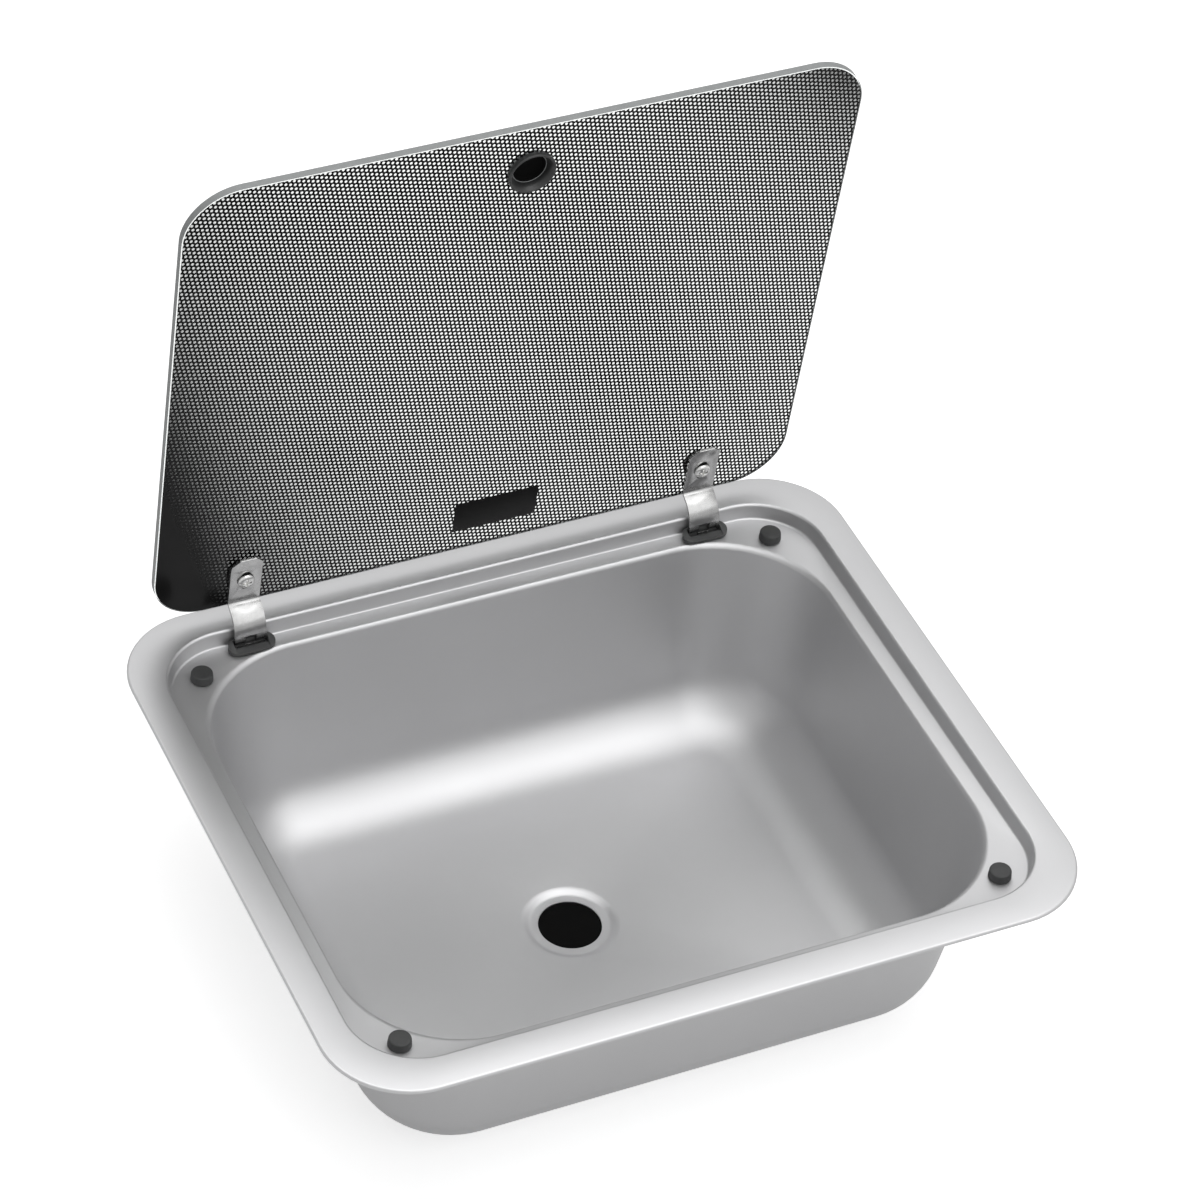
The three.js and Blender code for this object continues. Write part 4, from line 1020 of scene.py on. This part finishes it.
# ---------------------------------------------------------------- floor, light and camera

FLOOR_DROP = 0.4
FLOOR_WIDTH = 24000
SHADE_WIDTH = 40
# Levels of brightness: to the camera and through glass, in mirrored rays, and as light on the rest.
FLOOR_SEEN = 0.6
FLOOR_MIRRORED = 0.15
SKY_SEEN = 1
SKY_MIRRORED = 0.8
SKY_LIGHT = 0.32
LAMP_AIM = Vector((0, 0, -0.05))


def seen_not_lit(tree, direct, mirrored):
    """A level for rays from the camera or through glass, another for mirrored rays, 0 for the rest."""
    path = add_node(tree, "ShaderNodeLightPath")
    levels = []
    for ray, level in (("Is Camera Ray", direct), ("Is Transmission Ray", direct),
                       ("Is Glossy Ray", mirrored)):
        node = add_node(tree, "ShaderNodeMath", operation="MULTIPLY")
        node.inputs[1].default_value = level
        tree.links.new(path.outputs[ray], node.inputs[0])
        levels.append(node.outputs[0])
    highest = levels[0]
    for level in levels[1:]:
        node = add_node(tree, "ShaderNodeMath", operation="MAXIMUM")
        tree.links.new(highest, node.inputs[0])
        tree.links.new(level, node.inputs[1])
        highest = node.outputs[0]
    return highest


def floor_material():
    """A dull pale floor that glows a little, so that it ends up white and keeps the shadow."""
    material, shader = new_material("pale_floor")
    link = material.node_tree.links.new
    tone = place_effect(material, TONE, Light_Tone=(0.84, 0.84, 0.84, 1),
                        Dark_Tone=(0.82, 0.82, 0.82, 1), Scale=3)
    shader.inputs["Roughness"].default_value = 0.9
    shader.inputs["Specular IOR Level"].default_value = 0
    shader.inputs["Emission Color"].default_value = (1, 1, 1, 1)
    level = seen_not_lit(material.node_tree, FLOOR_SEEN, FLOOR_MIRRORED)
    link(level, shader.inputs["Emission Strength"])
    link(tone.outputs["Color"], shader.inputs["Base Color"])
    return material


def stage_disc(name, diameter, x, y, z, finish):
    """A flat disc that belongs to the stage, from sizes in millimetres."""
    bm = bmesh.new()
    bmesh.ops.create_circle(bm, cap_ends=True, radius=diameter / 2, segments=96,
                            matrix=Matrix.Translation((x, y, z)))
    bmesh.ops.transform(bm, matrix=Matrix.Scale(MM, 4), verts=bm.verts)
    mesh = bpy.data.meshes.new(name)
    bm.to_mesh(mesh)
    bm.free()
    mesh.materials.append(finish)
    disc = bpy.data.objects.new(name, mesh)
    bpy.context.scene.collection.objects.link(disc)
    return disc


stage_disc("floor", FLOOR_WIDTH, 0, 0, LOWEST_Z - FLOOR_DROP, floor_material())
# Painted shadow: a black disc on the floor under the drain hole, so that the hole shows black.
stage_disc("drain_shade", SHADE_WIDTH, DRAIN_X, DRAIN_Y, LOWEST_Z - FLOOR_DROP / 2, deep_black)

world = bpy.data.worlds.new("studio")
bpy.context.scene.world = world
world.use_nodes = True
sky = world.node_tree.nodes["Background"]
brightness = add_node(world.node_tree, "ShaderNodeMath", operation="MAXIMUM")
brightness.inputs[1].default_value = SKY_LIGHT
sky_level = seen_not_lit(world.node_tree, SKY_SEEN, SKY_MIRRORED)
world.node_tree.links.new(sky_level, brightness.inputs[0])
world.node_tree.links.new(brightness.outputs[0], sky.inputs["Strength"])
sky.inputs["Color"].default_value = (1, 1, 1, 1)


def soft_lamp(name, place, size, power):
    """A broad lamp that looks at the sink, with its place and size in metres and power in watts."""
    lamp = bpy.data.lights.new(name, "AREA")
    lamp.shape = "RECTANGLE"
    lamp.size, lamp.size_y = size
    lamp.energy = power
    holder = bpy.data.objects.new(name, lamp)
    holder.location = place
    holder.rotation_euler = (LAMP_AIM - Vector(place)).to_track_quat("-Z", "Y").to_euler()
    bpy.context.scene.collection.objects.link(holder)


soft_lamp("overhead_box", (0.1, 0.15, 1.9), (2.6, 2.0), 26)
soft_lamp("rear_box", (0.8, 1.3, 1.5), (1.2, 0.9), 0.8)
soft_lamp("front_box", (0.6, -1.5, 1.5), (2.4, 1.8), 13)

# The photograph's camera: where it stands, and which way its right, down and forward point.
CAMERA_PLACE = (-0.84702, -1.58039, 1.76428)
CAMERA_RIGHT = Vector((0.910505, -0.406890, 0.073627))
CAMERA_DOWN = Vector((-0.227305, -0.641261, -0.732883))
CAMERA_FORWARD = Vector((0.345417, 0.650557, -0.676360))

CAMERA_LENS = 143.51
CAMERA_SENSOR = 36

camera = bpy.data.cameras.new("camera")
camera.lens = CAMERA_LENS
camera.sensor_width = CAMERA_SENSOR
viewer = bpy.data.objects.new("camera", camera)
viewer.matrix_world = (
    Matrix.Translation(CAMERA_PLACE)
    @ Matrix((CAMERA_RIGHT, -CAMERA_DOWN, -CAMERA_FORWARD)).transposed().to_4x4()
)
bpy.context.scene.collection.objects.link(viewer)
bpy.context.scene.camera = viewer
bpy.context.scene.view_settings.view_transform = "Standard"
